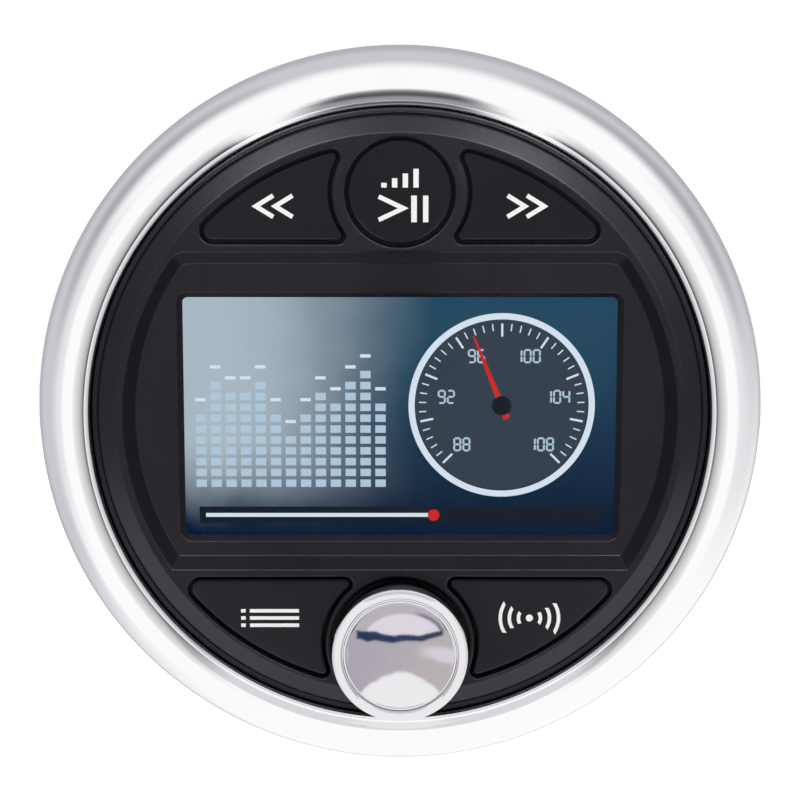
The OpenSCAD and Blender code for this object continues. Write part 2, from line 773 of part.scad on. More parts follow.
// Main board and what stands on its two sides
module main_board() color("darkgreen") upright() difference() {
    disc(main_board_r, main_back, main_top);
    for (p = post_centres) disc(big_pass_r, main_back - cut, main_top + cut, p);
}

module main_board_screws() color("silver") upright() for (p = post_centres)
    screw(p, big_screw_head_r - 0.2, big_screw_head_t, big_screw_r, big_screw_l, main_top, false);

module amplifier_chip() color("#1c1c1e") upright() {
    block(chip_size, chip_front - chip_size.z, chip_front, [0, sink_y]);
    for (i = [1 : chip_pins]) block([chip_pin, chip_pin], chip_front, main_back,
        [(i - (chip_pins + 1) / 2) * chip_size.x / (chip_pins + 1), sink_y - chip_size.y / 4]);
}

module audio_processor() color("#1c1c1e") upright()
    block(processor_size, main_top, main_top + processor_size.z, processor_at);

module filter_capacitors() color("#2a3a66") upright() for (p = capacitor_at)
    disc(capacitor_r, main_top, main_top + capacitor_l, p);

module tuner_module() color("silver") upright()
    block(tuner_size, main_top, main_top + tuner_size.z, tuner_at);

module power_choke() color("peru") upright() translate([choke_at.x, choke_at.y, main_top
    + choke_wire_r]) rotate_extrude() translate([choke_r, 0]) circle(r = choke_wire_r, $fn = 32);

module ribbon_sockets() color("ivory") upright() {
    block(ribbon_socket, board_back - ribbon_socket.z, board_back, [0, ribbon_y]);
    block(ribbon_socket, main_top, main_top + ribbon_socket.z, [0, ribbon_y]);
}

// Flat ribbon between the two boards, bowed a little so that the boards can part
module board_ribbon() color("lightsteelblue") upright() {
    top = board_back - ribbon_socket.z;
    low = main_top + ribbon_socket.z;
    steps = 12;
    near = [for (i = [0 : steps]) [ribbon_y + ribbon_bow * sin(180 * i / steps),
        top + (low - top) * i / steps]];
    far = [for (i = [steps : -1 : 0]) near[i] + [ribbon_t, 0]];
    rotate([90, 0, 90]) linear_extrude(ribbon_w, center = true) polygon(concat(near, far));
}

module harness_socket() color("#1c1c1e") upright() difference() {
    block(harness_size, harness_back, main_back, harness_at);
    block(harness_size - 2 * harness_wall * [1, 1], harness_back - cut,
        harness_back + harness_depth, harness_at);
}

module harness_pins() color("gold") upright()
    for (i = [1 : harness_cols], y = [-1, 1]) block([harness_pin_w, harness_pin_w],
        harness_back + harness_depth - harness_pin_l, harness_back + harness_depth,
        harness_at + [(i - (harness_cols + 1) / 2) * harness_pitch, y * harness_pitch / 2]);

module antenna_socket() color("silver") upright() difference() {
    union() {
        block(antenna_base, main_back - antenna_base.z, main_back, antenna_at);
        disc(antenna_r, antenna_back, main_back - antenna_base.z, antenna_at);
    }
    disc(antenna_bore_r, antenna_back - cut, antenna_back + antenna_depth, antenna_at);
    disc(antenna_pin_r, antenna_back - cut, antenna_back + antenna_depth + 3, antenna_at);
}

module rca_block() color("#1c1c1e") upright()
    block(rca_block_size, main_back - rca_block_size.z, main_back,
        [(rca_x[0] + rca_x[1]) / 2, rca_y]);

module rca_shells() color("silver") upright() for (x = rca_x) difference() {
    disc(rca_r, rca_back, main_back - rca_block_size.z, [x, rca_y]);
    disc(rca_r - rca_wall, rca_back - cut, main_back - rca_block_size.z + cut, [x, rca_y]);
}

module rca_insert(x) upright() difference() {
    disc(rca_r - rca_wall - press_gap, rca_back + 0.6, main_back - rca_block_size.z, [x, rca_y]);
    disc(rca_bore_r, rca_back - cut, rca_back + rca_depth, [x, rca_y]);
}

module rca_insert_white() color("whitesmoke") rca_insert(rca_x[0]);

module rca_insert_red() color("firebrick") rca_insert(rca_x[1]);

module usb_shell() color("silver") upright() difference() {
    block(usb_size, usb_back, main_back, usb_at);
    block(usb_size - 2 * usb_wall * [1, 1], usb_back - cut, main_back - usb_wall, usb_at);
}

module usb_tongue() color("white") upright()
    block(usb_tongue_size, usb_back + 1.5, main_back - usb_wall,
        usb_at + [0, usb_size.y / 2 - usb_wall - usb_tongue_size.y / 2 - 0.8]);

// Rear cover with the cut-outs for the sockets and the heat sink
module rear_cover() color("#2a2a2e") upright() difference() {
    disc(cover_r, cover_back, cover_front);
    for (p = post_centres) disc(big_pass_r, cover_back - cut, cover_front + cut, p);
    block(sink_boss + 2 * opening_gap * [1, 1], cover_back - cut, cover_front + cut, [0, sink_y]);
    block(harness_size + 2 * opening_gap * [1, 1], cover_back - cut, cover_front + cut, harness_at);
    block(usb_size + 2 * opening_gap * [1, 1], cover_back - cut, cover_front + cut, usb_at);
    disc(antenna_r + opening_gap, cover_back - cut, cover_front + cut, antenna_at);
    for (x = rca_x) disc(rca_r + opening_gap, cover_back - cut, cover_front + cut, [x, rca_y]);
    for (x = [-1, 1]) {
        disc(stud_r + press_gap, cover_back - cut, cover_front + cut, [x * stud_x, 0]);
        disc(big_pilot_r, cover_back - cut, cover_front + cut, [x * sink_screw_x, sink_y]);
    }
}

module rear_seal() color("#151515") upright()
    ring(can_r - 0.3, can_r - 0.3 - rear_seal_w, cover_front, can_end);

module cover_screws() color("silver") upright() for (p = post_centres)
    screw(p, big_screw_head_r, big_screw_head_t, big_screw_r, big_screw_l, cover_back, true);

// Finned heat sink on the cover, with a boss that reaches the chip inside
module heat_sink() color("darkgray") upright() difference() {
    union() {
        block(sink_size, cover_back - sink_size.z, cover_back, [0, sink_y]);
        block(sink_boss, cover_back, cover_front + sink_boss_h, [0, sink_y]);
        for (i = [1 : fin_count]) block([fin_t, sink_size.y],
            cover_back - sink_size.z - fin_h, cover_back - sink_size.z,
            [(i - (fin_count + 1) / 2) * fin_pitch, sink_y]);
    }
    for (x = [-1, 1]) disc(big_pass_r, cover_back - sink_size.z - cut, cover_back + cut,
        [x * sink_screw_x, sink_y]);
}

module heat_sink_screws() color("silver") upright() for (x = [-1, 1])
    screw([x * sink_screw_x, sink_y], sink_head_r, big_screw_head_t, big_screw_r,
        sink_size.z + cover_t - touch_gap, cover_back - sink_size.z, true);

// Clamp: two studs in the cover, a bent strap, washers and wing nuts
module mount_studs() color("silver") upright() for (x = [-1, 1]) {
    translate([x * stud_x, 0, cover_front]) cylinder(r = stud_head_r, h = stud_head_t, $fn = 6);
    disc(stud_r, stud_end, cover_front, [x * stud_x, 0]);
}

// Half of the strap's section: out along its back to the foot, and home along its inside
function strap_half() =
    let (bend_c = [leg_x - bend_r, strap_front + bend_r],
         foot_c = [leg_x + strap_t + foot_bend_r, leg_front - strap_t - foot_bend_r])
    concat(arc(bend_c, bend_r + strap_t, 270, 360, 6),
        arc(foot_c, foot_bend_r, 180, 90, 4),
        [[leg_x + foot_l, leg_front - strap_t], [leg_x + foot_l, leg_front]],
        arc(foot_c, foot_bend_r + strap_t, 90, 180, 4),
        arc(bend_c, bend_r, 360, 270, 6));

module clamp_bracket() color("lightgray") upright() difference() {
    half = strap_half();
    last = len(half) - 1;
    rotate([90, 0, 0]) linear_extrude(strap_w, center = true)
        polygon(concat(half, [for (i = [last : -1 : 0]) [-half[i].x, half[i].y]]));
    for (x = [-1, 1]) disc(stud_r + seat_gap, strap_back - cut, strap_front + cut, [x * stud_x, 0]);
}

module clamp_washers() color("silver") upright() for (x = [-1, 1]) translate([x * stud_x, 0, 0])
    ring(washer_r, stud_r + seat_gap, strap_back - washer_t, strap_back);

module wing_nuts() color("silver") upright() for (x = [-1, 1]) translate([x * stud_x, 0,
    strap_back - washer_t - nut_t]) difference() {
    union() {
        cylinder(r = nut_r, h = nut_t);
        for (y = [-1, 1]) translate([-wing_t / 2, y > 0 ? stud_r + 0.6 : -nut_r - wing_l, nut_t - wing_h])
            cube([wing_t, nut_r + wing_l - stud_r - 0.6, wing_h - 1.2]);
    }
    translate([0, 0, nut_t - wing_h - cut]) cylinder(r = stud_r + slide_fit, h = wing_h + 2 * cut);
}

bezel_ring();
front_fascia();
display_lens();
display_frame();
display_panel();
display_backlight();
display_cradle();
display_pad();
key_play();
upper_key(-1, 1);  // key_back
upper_key(1, 2);  // key_forward
lower_key(-1, 3);  // key_mode
lower_key(1, 4);  // key_band
switch_plunger(0);  // plunger_play
switch_plunger(1);  // plunger_back
switch_plunger(2);  // plunger_forward
switch_plunger(3);  // plunger_mode
switch_plunger(4);  // plunger_band
switch_bodies();
key_leds();
front_board();
board_screws();
knob_sleeve();
knob_dish();
encoder_shaft();
encoder_body();
encoder_plunger();
knob_seal();
face_seal();
panel_gasket();
rear_can();
face_screws();
main_board();
main_board_screws();
amplifier_chip();
audio_processor();
filter_capacitors();
tuner_module();
power_choke();
board_ribbon();
ribbon_sockets();
harness_socket();
harness_pins();
antenna_socket();
rca_block();
rca_shells();
rca_insert_white();
rca_insert_red();
usb_shell();
usb_tongue();
rear_cover();
rear_seal();
cover_screws();
heat_sink();
heat_sink_screws();
mount_studs();
clamp_bracket();
clamp_washers();
wing_nuts();
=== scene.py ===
from math import asin, atan2, cos, degrees, radians, sin, sqrt, tan

import bmesh
import bpy
import numpy as np
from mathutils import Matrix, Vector
from mathutils.geometry import delaunay_2d_cdt


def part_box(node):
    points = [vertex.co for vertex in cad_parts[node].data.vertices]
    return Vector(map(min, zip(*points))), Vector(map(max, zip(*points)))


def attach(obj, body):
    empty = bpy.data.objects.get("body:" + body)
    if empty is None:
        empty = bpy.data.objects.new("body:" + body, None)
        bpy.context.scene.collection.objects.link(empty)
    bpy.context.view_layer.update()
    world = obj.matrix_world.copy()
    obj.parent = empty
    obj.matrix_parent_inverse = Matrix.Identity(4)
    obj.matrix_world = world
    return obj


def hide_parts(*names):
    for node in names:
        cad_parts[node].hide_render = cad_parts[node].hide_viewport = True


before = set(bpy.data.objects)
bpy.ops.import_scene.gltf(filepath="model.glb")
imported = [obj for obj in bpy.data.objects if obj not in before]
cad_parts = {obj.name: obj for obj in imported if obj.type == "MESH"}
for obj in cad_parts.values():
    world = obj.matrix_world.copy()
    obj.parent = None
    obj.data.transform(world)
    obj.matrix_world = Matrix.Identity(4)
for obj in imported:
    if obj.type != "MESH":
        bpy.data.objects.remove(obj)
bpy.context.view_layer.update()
mm = 0.001
scene = bpy.context.scene


# Pieces are drawn face up in millimetres: x right, y up, z towards the user
def spanOf(node):
    low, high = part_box(node)
    return Vector((low.x, low.z, -high.y)) / mm, Vector((high.x, high.z, -low.y)) / mm


def arcPoints(cx, cy, r, start, end, steps):  # degrees; the last point belongs to the next stretch
    turns = [radians(start + (end - start) * i / steps) for i in range(steps)]
    return [(cx + r * cos(a), cy + r * sin(a)) for a in turns]


def quarter(steps):  # turns from 0 to 90 degrees, with both ends
    return [radians(90 * i / steps) for i in range(steps + 1)]


def circleLoop(r, steps=96, cx=0, cy=0):
    return arcPoints(cx, cy, r, 0, 360, steps)


def roundedBox(w, h, low, high, steps=8):  # radii of the lower and of the upper corners
    x, y = w / 2, h / 2
    loop = arcPoints(x - low, low - y, low, -90, 0, steps)
    loop += arcPoints(x - high, y - high, high, 0, 90, steps)
    loop += arcPoints(high - x, y - high, high, 90, 180, steps)
    return loop + arcPoints(low - x, low - y, low, 180, 270, steps)


def mirrored(loop, x=1, y=1):
    return [(x * a, y * b) for a, b in loop]


class Skin:  # the rings, bands and flat fills of one piece
    def __init__(self):
        self.points, self.faces = [], []

    def ring(self, loop, height):
        first = len(self.points)
        self.points += [(x, y, height) for x, y in loop]
        return list(range(first, len(self.points)))

    def strip(self, low, high):
        count = len(low)
        self.faces += [(low[i], low[(i + 1) % count], high[(i + 1) % count], high[i]) for i in range(count)]

    def stack(self, loops, closed=False):  # (loop, height) pairs of equal count, joined in order
        rings = [self.ring(loop, height) for loop, height in loops]
        for low, high in zip(rings, rings[1:] + rings[:closed]):
            self.strip(low, high)
        return rings

    def lathe(self, profile, steps, cx=0, cy=0, closed=True):  # (radius, height) pairs
        return self.stack([(circleLoop(r, steps, cx, cy), z) for r, z in profile], closed)

    def spindle(self, profile, steps, cx=0, cy=0):  # a lathe form with flat ends
        rings = self.lathe(profile, steps, cx, cy, False)
        self.faces += [tuple(rings[0]), tuple(rings[-1])]

    def fill(self, *rings):  # flat triangles inside the first ring and outside the others
        names = [i for ring in rings for i in ring]
        edges, first = [], 0
        for ring in rings:
            edges += [(first + i, first + (i + 1) % len(ring)) for i in range(len(ring))]
            first += len(ring)
        flat = [Vector(self.points[i][:2]) for i in names]
        made = delaunay_2d_cdt(flat, edges, [], 1, 1e-6)
        near = np.array([flat[a] for a, b in edges]), np.array([flat[b] for a, b in edges])
        for face in made[2]:
            corners = [made[3][v][0] for v in face]
            x, y = sum((flat[i] for i in corners), Vector((0, 0))) / 3
            crossed = (near[0][:, 1] > y) != (near[1][:, 1] > y)
            run = (near[1] - near[0])[crossed]
            hits = near[0][crossed][:, 0] + (y - near[0][crossed][:, 1]) * run[:, 0] / run[:, 1] > x
            if hits.sum() % 2:  # an odd count of edges lies to the right of a point inside
                self.faces.append(tuple(names[i] for i in corners))

    def fillStack(self, loops):  # a stack with both ends closed
        rings = self.stack(loops)
        self.fill(rings[0])
        self.fill(rings[-1])

    def slab(self, loop, low, high):
        self.fillStack([(loop, low), (loop, high)])

    def build(self, name):
        mesh = bpy.data.meshes.new(name)
        mesh.from_pydata([(x * mm, -z * mm, y * mm) for x, y, z in self.points], [], self.faces)
        work = bmesh.new()
        work.from_mesh(mesh)
        bmesh.ops.recalc_face_normals(work, faces=work.faces)
        work.to_mesh(mesh)
        work.free()
        piece = bpy.data.objects.new(name, mesh)
        scene.collection.objects.link(piece)
        return piece


def carve(piece, tool, operation="DIFFERENCE"):  # cuts or joins a second form, and leaves one mesh
    cut = piece.modifiers.new("carve", "BOOLEAN")
    cut.operation, cut.solver, cut.object = operation, "EXACT", tool
    graph = bpy.context.evaluated_depsgraph_get()
    mesh = bpy.data.meshes.new_from_object(piece.evaluated_get(graph))
    piece.modifiers.clear()
    piece.data = mesh
    bpy.data.objects.remove(tool)


def dress(piece, finish, body, stands=(), sharp=35):  # shading, finish and seat in the frame
    piece.data.shade_smooth()
    piece.data.set_sharp_from_angle(angle=radians(sharp))
    piece.data.materials.clear()
    piece.data.materials.append(finish)
    even = piece.modifiers.new("even normals", "WEIGHTED_NORMAL")
    even.keep_sharp, even.weight = True, 60
    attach(piece, body)
    if stands:
        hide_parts(*stands)
    return piece


# Shader maths: a wire is a socket that takes part in expressions
class Wire:
    def __init__(self, tree, socket):
        self.tree, self.socket = tree, socket

    def run(self, operation, *values):
        node = self.tree.nodes.new("ShaderNodeMath")
        node.operation = operation
        for socket, value in zip(node.inputs, values):
            plug(self.tree, socket, value)
        return Wire(self.tree, node.outputs[0])

    def __add__(self, other):
        return self.run("ADD", self, other)

    def __sub__(self, other):
        return self.run("SUBTRACT", self, other)

    def __rsub__(self, other):
        return self.run("SUBTRACT", other, self)

    def __mul__(self, other):
        return self.run("MULTIPLY", self, other)

    def __truediv__(self, other):
        return self.run("DIVIDE", self, other)

    def __rtruediv__(self, other):
        return self.run("DIVIDE", other, self)

    def __abs__(self):
        return self.run("ABSOLUTE", self)

    __radd__, __rmul__ = __add__, __mul__


def plug(tree, socket, value):
    if isinstance(value, Wire):
        tree.links.new(value.socket, socket)
    else:
        socket.default_value = value


class Tree:  # the nodes of one material or of the world
    def __init__(self, owner):
        owner.use_nodes = True
        self.tree = owner.node_tree
        self.tree.nodes.clear()

    def add(self, kind, settings=None, sockets=None, give=0):
        node = self.tree.nodes.new(kind)
        for key, value in (settings or {}).items():
            setattr(node, key, value)
        for key, value in (sockets or {}).items():
            plug(self.tree, node.inputs[key], value)
        return Wire(self.tree, node.outputs[give]) if len(node.outputs) else node

    def mix(self, factor, first, second):  # colours
        return self.add("ShaderNodeMix", {"data_type": "RGBA"}, {0: factor, 6: first, 7: second}, give=2)

    def place(self):  # a piece's own metres
        return self.add("ShaderNodeTexCoord", give="Object")

    def ray(self, kind):  # 1 for rays of that kind, and else 0
        return self.add("ShaderNodeLightPath", give="Is " + kind + " Ray")

    def scaled(self, vector, by):
        return self.add("ShaderNodeVectorMath", {"operation": "MULTIPLY"}, {0: vector, 1: by})

    def axes(self, vector):
        node = self.add("ShaderNodeSeparateXYZ", {}, {0: vector}).socket.node
        return [Wire(self.tree, out) for out in node.outputs]

    def noise(self, vector, size, detail=2, rough=0.5):  # size of a speck in metres
        return self.add("ShaderNodeTexNoise", {}, {"Vector": vector, "Scale": 1 / size, "Detail": detail,
                                                   "Roughness": rough})

    def stretch(self, value, low, high, toLow=0, toHigh=1):  # smooth step from one range to another
        return self.add("ShaderNodeMapRange", {"interpolation_type": "SMOOTHSTEP"},
                        {0: value, 1: low, 2: high, 3: toLow, 4: toHigh})

    def bump(self, height, depth):  # depth in metres
        return self.add("ShaderNodeBump", {}, {"Height": height, "Distance": depth, "Strength": 1.0})

    def close(self, **sockets):
        named = {key.replace("_", " "): value for key, value in sockets.items()}
        shader = self.add("ShaderNodeBsdfPrincipled", {}, named)
        self.add("ShaderNodeOutputMaterial", {}, {"Surface": shader})


def newFinish(name):
    finish = bpy.data.materials.new(name)
    return finish, Tree(finish)


def opaque(r, g, b):
    return (r, g, b, 1)


# Finishes; the sizes and depths of their patterns are in metres
patternForm = {"cloud": 0.012, "wave": 0.02, "dust": 0.0009, "brush": 0.0004, "brushDepth": 0.000008,
               "stain": 0.006, "print": 0.0002, "smear": 0.008, "mask": 0.0003, "trackScale": 320.0,
               "trackDepth": 0.00003, "coilScale": 260.0, "coilDepth": 0.0002}
# How far each pattern moves the roughness
swingForm = {"speck": 0.16, "cloud": 0.1, "brush": 0.18, "stain": 0.12, "fine": 0.15, "smear": 0.02}


def swing(pattern, by):  # a pattern's sway about its middle
    return (pattern - 0.5) * by


def shaded(tone, by):
    return opaque(*[c * by for c in tone])


def plastic(name, tone, rough, grain=0.00016, depth=0.000006, shine=0.5, cloud=0.25):
    finish, tree = newFinish(name)
    at = tree.place()
    clouds = tree.noise(at, patternForm["cloud"], 3)
    specks = tree.noise(at, grain, 2, 0.6)
    tree.close(Base_Color=tree.mix(clouds, shaded(tone, 1 - cloud), shaded(tone, 1 + cloud)),
               Roughness=rough + swing(specks, swingForm["speck"]) + swing(clouds, swingForm["cloud"]),
               Specular_IOR_Level=shine, Normal=tree.bump(specks, depth))
    return finish


def chromed(name, tone, rough, haze, ripple):
    finish, tree = newFinish(name)
    at = tree.place()
    waves = tree.noise(at, patternForm["wave"], 2, 0.45)
    dust = tree.noise(at, patternForm["dust"], 3, 0.6)
    tree.close(Base_Color=tree.mix(waves, shaded(tone, 0.96), opaque(*tone)), Metallic=1.0,
               Roughness=rough + waves * haze + dust * haze * 0.5, Normal=tree.bump(waves, ripple))
    return finish


def plated(name, tone, rough, grain=(1, 1, 1), stain=0.12):  # zinc, nickel and other worked metals
    finish, tree = newFinish(name)
    at = tree.place()
    lines = tree.noise(tree.scaled(at, grain), patternForm["brush"], 3, 0.6)
    clouds = tree.noise(at, patternForm["stain"], 4, 0.6)
    tree.close(Base_Color=tree.mix(clouds, shaded(tone, 1 - stain), opaque(*tone)), Metallic=1.0,
               Roughness=rough + swing(lines, swingForm["brush"]) + swing(clouds, swingForm["stain"]),
               Normal=tree.bump(lines, patternForm["brushDepth"]))
    return finish


def paint(name, tone, rough=0.45, worn=0.86):  # printed marks
    finish, tree = newFinish(name)
    specks = tree.noise(tree.place(), patternForm["print"], 2)
    tree.close(Base_Color=tree.mix(specks, shaded(tone, worn), opaque(*tone)),
               Roughness=rough + specks * swingForm["fine"])
    return finish


def clearWindow(name, tone=(0.96, 0.98, 1), rough=0.01):
    finish, tree = newFinish(name)
    smear = tree.noise(tree.place(), patternForm["smear"], 3)
    tree.close(Base_Color=opaque(*tone), Roughness=rough + smear * swingForm["smear"], IOR=1.06,
               Transmission_Weight=1.0)
    return finish


def boardLaminate(name, tone, track, rough=0.3):  # green mask over etched tracks
    finish, tree = newFinish(name)
    at = tree.place()
    cells = tree.add("ShaderNodeTexVoronoi", {"feature": "DISTANCE_TO_EDGE", "distance": "MANHATTAN"},
                     {"Vector": at, "Scale": patternForm["trackScale"]})
    tracks = tree.stretch(cells, 0.04, 0.08, 1, 0)
    specks = tree.noise(at, patternForm["mask"], 2)
    tree.close(Base_Color=tree.mix(tracks, opaque(*tone), opaque(*track)),
               Roughness=rough + specks * swingForm["fine"],
               Normal=tree.bump(tracks, patternForm["trackDepth"]))
    return finish


def wound(name, tone, rough=0.25, groove=0.45):  # enamelled copper laid round a core, with painted shade in the grooves between turns
    finish, tree = newFinish(name)
    waves = tree.add("ShaderNodeTexWave", {"wave_type": "RINGS", "rings_direction": "Y"},
                     {"Vector": tree.place(), "Scale": patternForm["coilScale"], "Distortion": 1.5})
    # painted shade: the grooves between the turns are darkened to the groove share of the tone
    tree.close(Base_Color=tree.mix(waves, shaded(tone, groove), opaque(*tone)), Metallic=0.85,
               Roughness=rough + waves * swingForm["fine"], Normal=tree.bump(waves, patternForm["coilDepth"]))
    return finish


chrome = chromed("bezel_chrome", (0.985, 0.983, 0.99), 0.03, 0.05, 0.00003)
knobChrome = chromed("knob_chrome", (0.84, 0.835, 0.855), 0.03, 0.04, 0.00004)
fasciaBlack = plastic("fascia_satin_black", (0.0070, 0.0061, 0.0090), 0.27, shine=0.13)
keyBlack = plastic("key_satin_black", (0.0072, 0.0064, 0.0090), 0.32, grain=0.0002, shine=0.12)
printWhite = paint("mark_white", (0.78, 0.762, 0.75))
windowClear = clearWindow("window_clear")
canBlack = plastic("can_textured_black", (0.016, 0.016, 0.018), 0.5, grain=0.0007, depth=0.00006, shine=0.45)
coverBlack = plastic("cover_textured_black", (0.020, 0.020, 0.022), 0.46, 0.0005, 0.00004, shine=0.45)
socketBlack = plastic("socket_black", (0.012, 0.012, 0.013), 0.35)
rubberBlack = plastic("seal_rubber_black", (0.010, 0.010, 0.011), 0.72, 0.0003, 0.00002, shine=0.25)
foamGrey = plastic("foam_grey", (0.05, 0.05, 0.052), 0.9, grain=0.0006, depth=0.0001, shine=0.1)
whitePlastic = plastic("white_plastic", (0.75, 0.74, 0.71), 0.35, cloud=0.05)
ivoryPlastic = plastic("ivory_plastic", (0.66, 0.60, 0.46), 0.4, cloud=0.06)
redPlastic = plastic("red_plastic", (0.42, 0.018, 0.015), 0.33, cloud=0.1)
brownPlastic = plastic("brown_plastic", (0.12, 0.05, 0.02), 0.4, cloud=0.12)
sleeveBlue = plastic("capacitor_sleeve_blue", (0.02, 0.035, 0.11), 0.3, cloud=0.1)
filmPale = plastic("ribbon_film_pale", (0.48, 0.54, 0.62), 0.3, cloud=0.08)
epoxyBlack = plastic("chip_epoxy_black", (0.014, 0.014, 0.015), 0.55, grain=0.00012, shine=0.4)
glassDark = plastic("display_glass_dark", (0.004, 0.004, 0.006), 0.12, grain=0.0004, depth=0.000001)
zincSteel = plated("zinc_plated_steel", (0.66, 0.66, 0.67), 0.3, (1, 0.12, 1))
screwSteel = plated("screw_steel", (0.62, 0.62, 0.64), 0.26)
nickelled = plated("nickel_plate", (0.72, 0.70, 0.66), 0.2, stain=0.08)
sinkAluminium = plated("sink_aluminium", (0.74, 0.745, 0.75), 0.34, (1, 1, 0.08))
pinBrass = plated("pin_brass", (0.78, 0.60, 0.30), 0.24)
boardGreen = boardLaminate("board_green", (0.012, 0.075, 0.03), (0.03, 0.14, 0.05))
copperWire = wound("choke_copper", (0.55, 0.22, 0.09))
print("finishes:", len(bpy.data.materials))

# Bezel: a chromed ring with a broad outer arc, a rolled crest, an inner slope and a narrow lip
bezelLow, bezelHigh = spanOf("bezel_ring")
bezelForm = {"bore": 47.2, "crest": 50.3, "roll": 2.7, "widest": 2.4, "innerTurn": 40, "edge": 0.4,
             "edgeMid": 0.12, "valley": 48.1, "lipEnd": 47.5, "lipFirst": 8, "lipLast": 32, "lipRound": 0.15,
             "lipWall": 70, "seat": 6.0, "grip": 53.25, "segments": 384}


def bezelProfile(form, r, back, front):
    crest, roll, widest, valley = form["crest"], form["roll"], form["widest"], form["valley"]
    edge, mid, grip, seat, bore = form["edge"], form["edgeMid"], form["grip"], form["seat"], form["bore"]
    side, rollZ = r - crest, front - roll
    rise = rollZ - widest
    arcR = (side ** 2 + rise ** 2 - roll ** 2) / (2 * (side - roll))
    arcX = r - arcR
    tangent = degrees(atan2(rise, crest - arcX))  # where the outer arc meets the crest
    inner = (crest - valley) / sin(radians(form["innerTurn"]))
    dip = front - inner * (1 - cos(radians(form["innerTurn"])))
    first, last, wall = [radians(form[key]) for key in ("lipFirst", "lipLast", "lipWall")]
    lipR, soft = (valley - form["lipEnd"]) / (sin(last) - sin(first)), form["lipRound"]
    lipZ = dip - lipR * cos(first)
    softX, softZ = form["lipEnd"] + soft * sin(last), lipZ + (lipR - soft) * cos(last)
    wallX, wallZ = softX - soft * sin(wall), softZ + soft * cos(wall)
    profile = [(grip, back), (r - edge, back), (r - mid, back + mid), (r, back + edge)]
    profile += arcPoints(arcX, widest, arcR, 0, tangent, 56)
    profile += arcPoints(crest, rollZ, roll, tangent, 90, 24)
    profile += arcPoints(crest, front - inner, inner, 90, 90 + form["innerTurn"], 36)
    lipX = valley + lipR * sin(first)
    profile += arcPoints(lipX, lipZ, lipR, 90 + form["lipFirst"], 90 + form["lipLast"], 10)
    profile += arcPoints(softX, softZ, soft, 90 + form["lipLast"], 90 + form["lipWall"], 5)
    return profile + [(wallX, wallZ), (bore, wallZ - (wallX - bore) * tan(wall)), (bore, seat), (grip, seat)]


def makeBezel(form, r, back, front):
    skin = Skin()
    skin.lathe(bezelProfile(form, r, back, front), form["segments"])
    return dress(skin.build("bezel"), chrome, "housing", ["bezel_ring"], sharp=22)


makeBezel(bezelForm, bezelHigh.x, bezelLow.z, bezelHigh.z)
print("bezel made")

# Outline of a key between an outer arc, a straight edge and a hollow side, drawn for the upper left one
faceTop = 11.0
knobY = -35.6
playOpen = {"r": 8.25, "y": 34.4}
keyRounds = {"tip": 2.0, "crook": 1.2, "heel": 1.2}
upperOpen = dict(keyRounds, outer=42.1, edge=26.65, hollowY=playOpen["y"], hollow=10.25)
lowerOpen = dict(keyRounds, outer=42.8, edge=24.9, hollowY=-knobY, hollow=11.55)
keyPlaces = {"key_back": (upperOpen, 1, 1), "key_forward": (upperOpen, -1, 1), "key_mode": (lowerOpen, 1, -1),
             "key_band": (lowerOpen, -1, -1)}


def keyLoop(o, inset, sideX, sideY):
    outer, edge, hollow = o["outer"] - inset, o["edge"] + inset, o["hollow"] + inset
    tip, crook, heel = o["tip"] - inset, o["crook"] - inset, o["heel"] - inset
    tipY, heelY = edge + tip, edge + heel
    tipX = -sqrt((outer - tip) ** 2 - tipY ** 2)
    crookY = ((outer - crook) ** 2 - (hollow + crook) ** 2 + o["hollowY"] ** 2) / (2 * o["hollowY"])
    crookX = -sqrt((outer - crook) ** 2 - crookY ** 2)
    heelX = -sqrt((hollow + heel) ** 2 - (heelY - o["hollowY"]) ** 2)
    tipOut, crookOut = degrees(atan2(tipY, tipX)), degrees(atan2(crookY, crookX))
    crookIn = degrees(atan2(o["hollowY"] - crookY, -crookX))
    heelIn = degrees(atan2(o["hollowY"] - heelY, -heelX))
    loop = arcPoints(heelX, heelY, heel, -90, heelIn, 8)
    loop += arcPoints(0, o["hollowY"], hollow, heelIn + 180, crookIn + 180, 28)
    loop += arcPoints(crookX, crookY, crook, crookIn, crookOut, 8)
    loop += arcPoints(0, 0, outer, crookOut, tipOut, 40)
    loop += arcPoints(tipX, tipY, tip, tipOut, 270, 10)
    return mirrored(loop, sideX, sideY)


def playLoop(inset):
    return circleLoop(playOpen["r"] - inset, cy=playOpen["y"])


# Fascia: shoulder, sunk panel with sloping sides, bevelled window, openings and knob well
fasciaForm = {"plateau": 43.35, "brow": [(-0.15, 0), (-0.05, 0.006), (0.06, 0.022), (0.16, 0.043)],
              "ridge": 2.4, "lean": 15, "ridgeEase": 0.1, "ridgeRound": 0.5, "ridgeTurn": 63, "foot": 0.3,
              "footTurn": 60, "footRise": 0.55, "footRun": 0.5, "footReach": 0.87, "drop": 1.15,
              "groove": 47.1, "grooveRound": 0.3, "belly": 0.3, "flangeTop": 6.0, "flange": 53.2, "back": 3.5,
              "cavity": 45.3, "plateBack": 9.2, "trayBack": 7.8, "trayOut": 0.2, "trayIn": 0.25,
              "trayCorner": 0.3, "openRound": 0.32, "segments": 288}
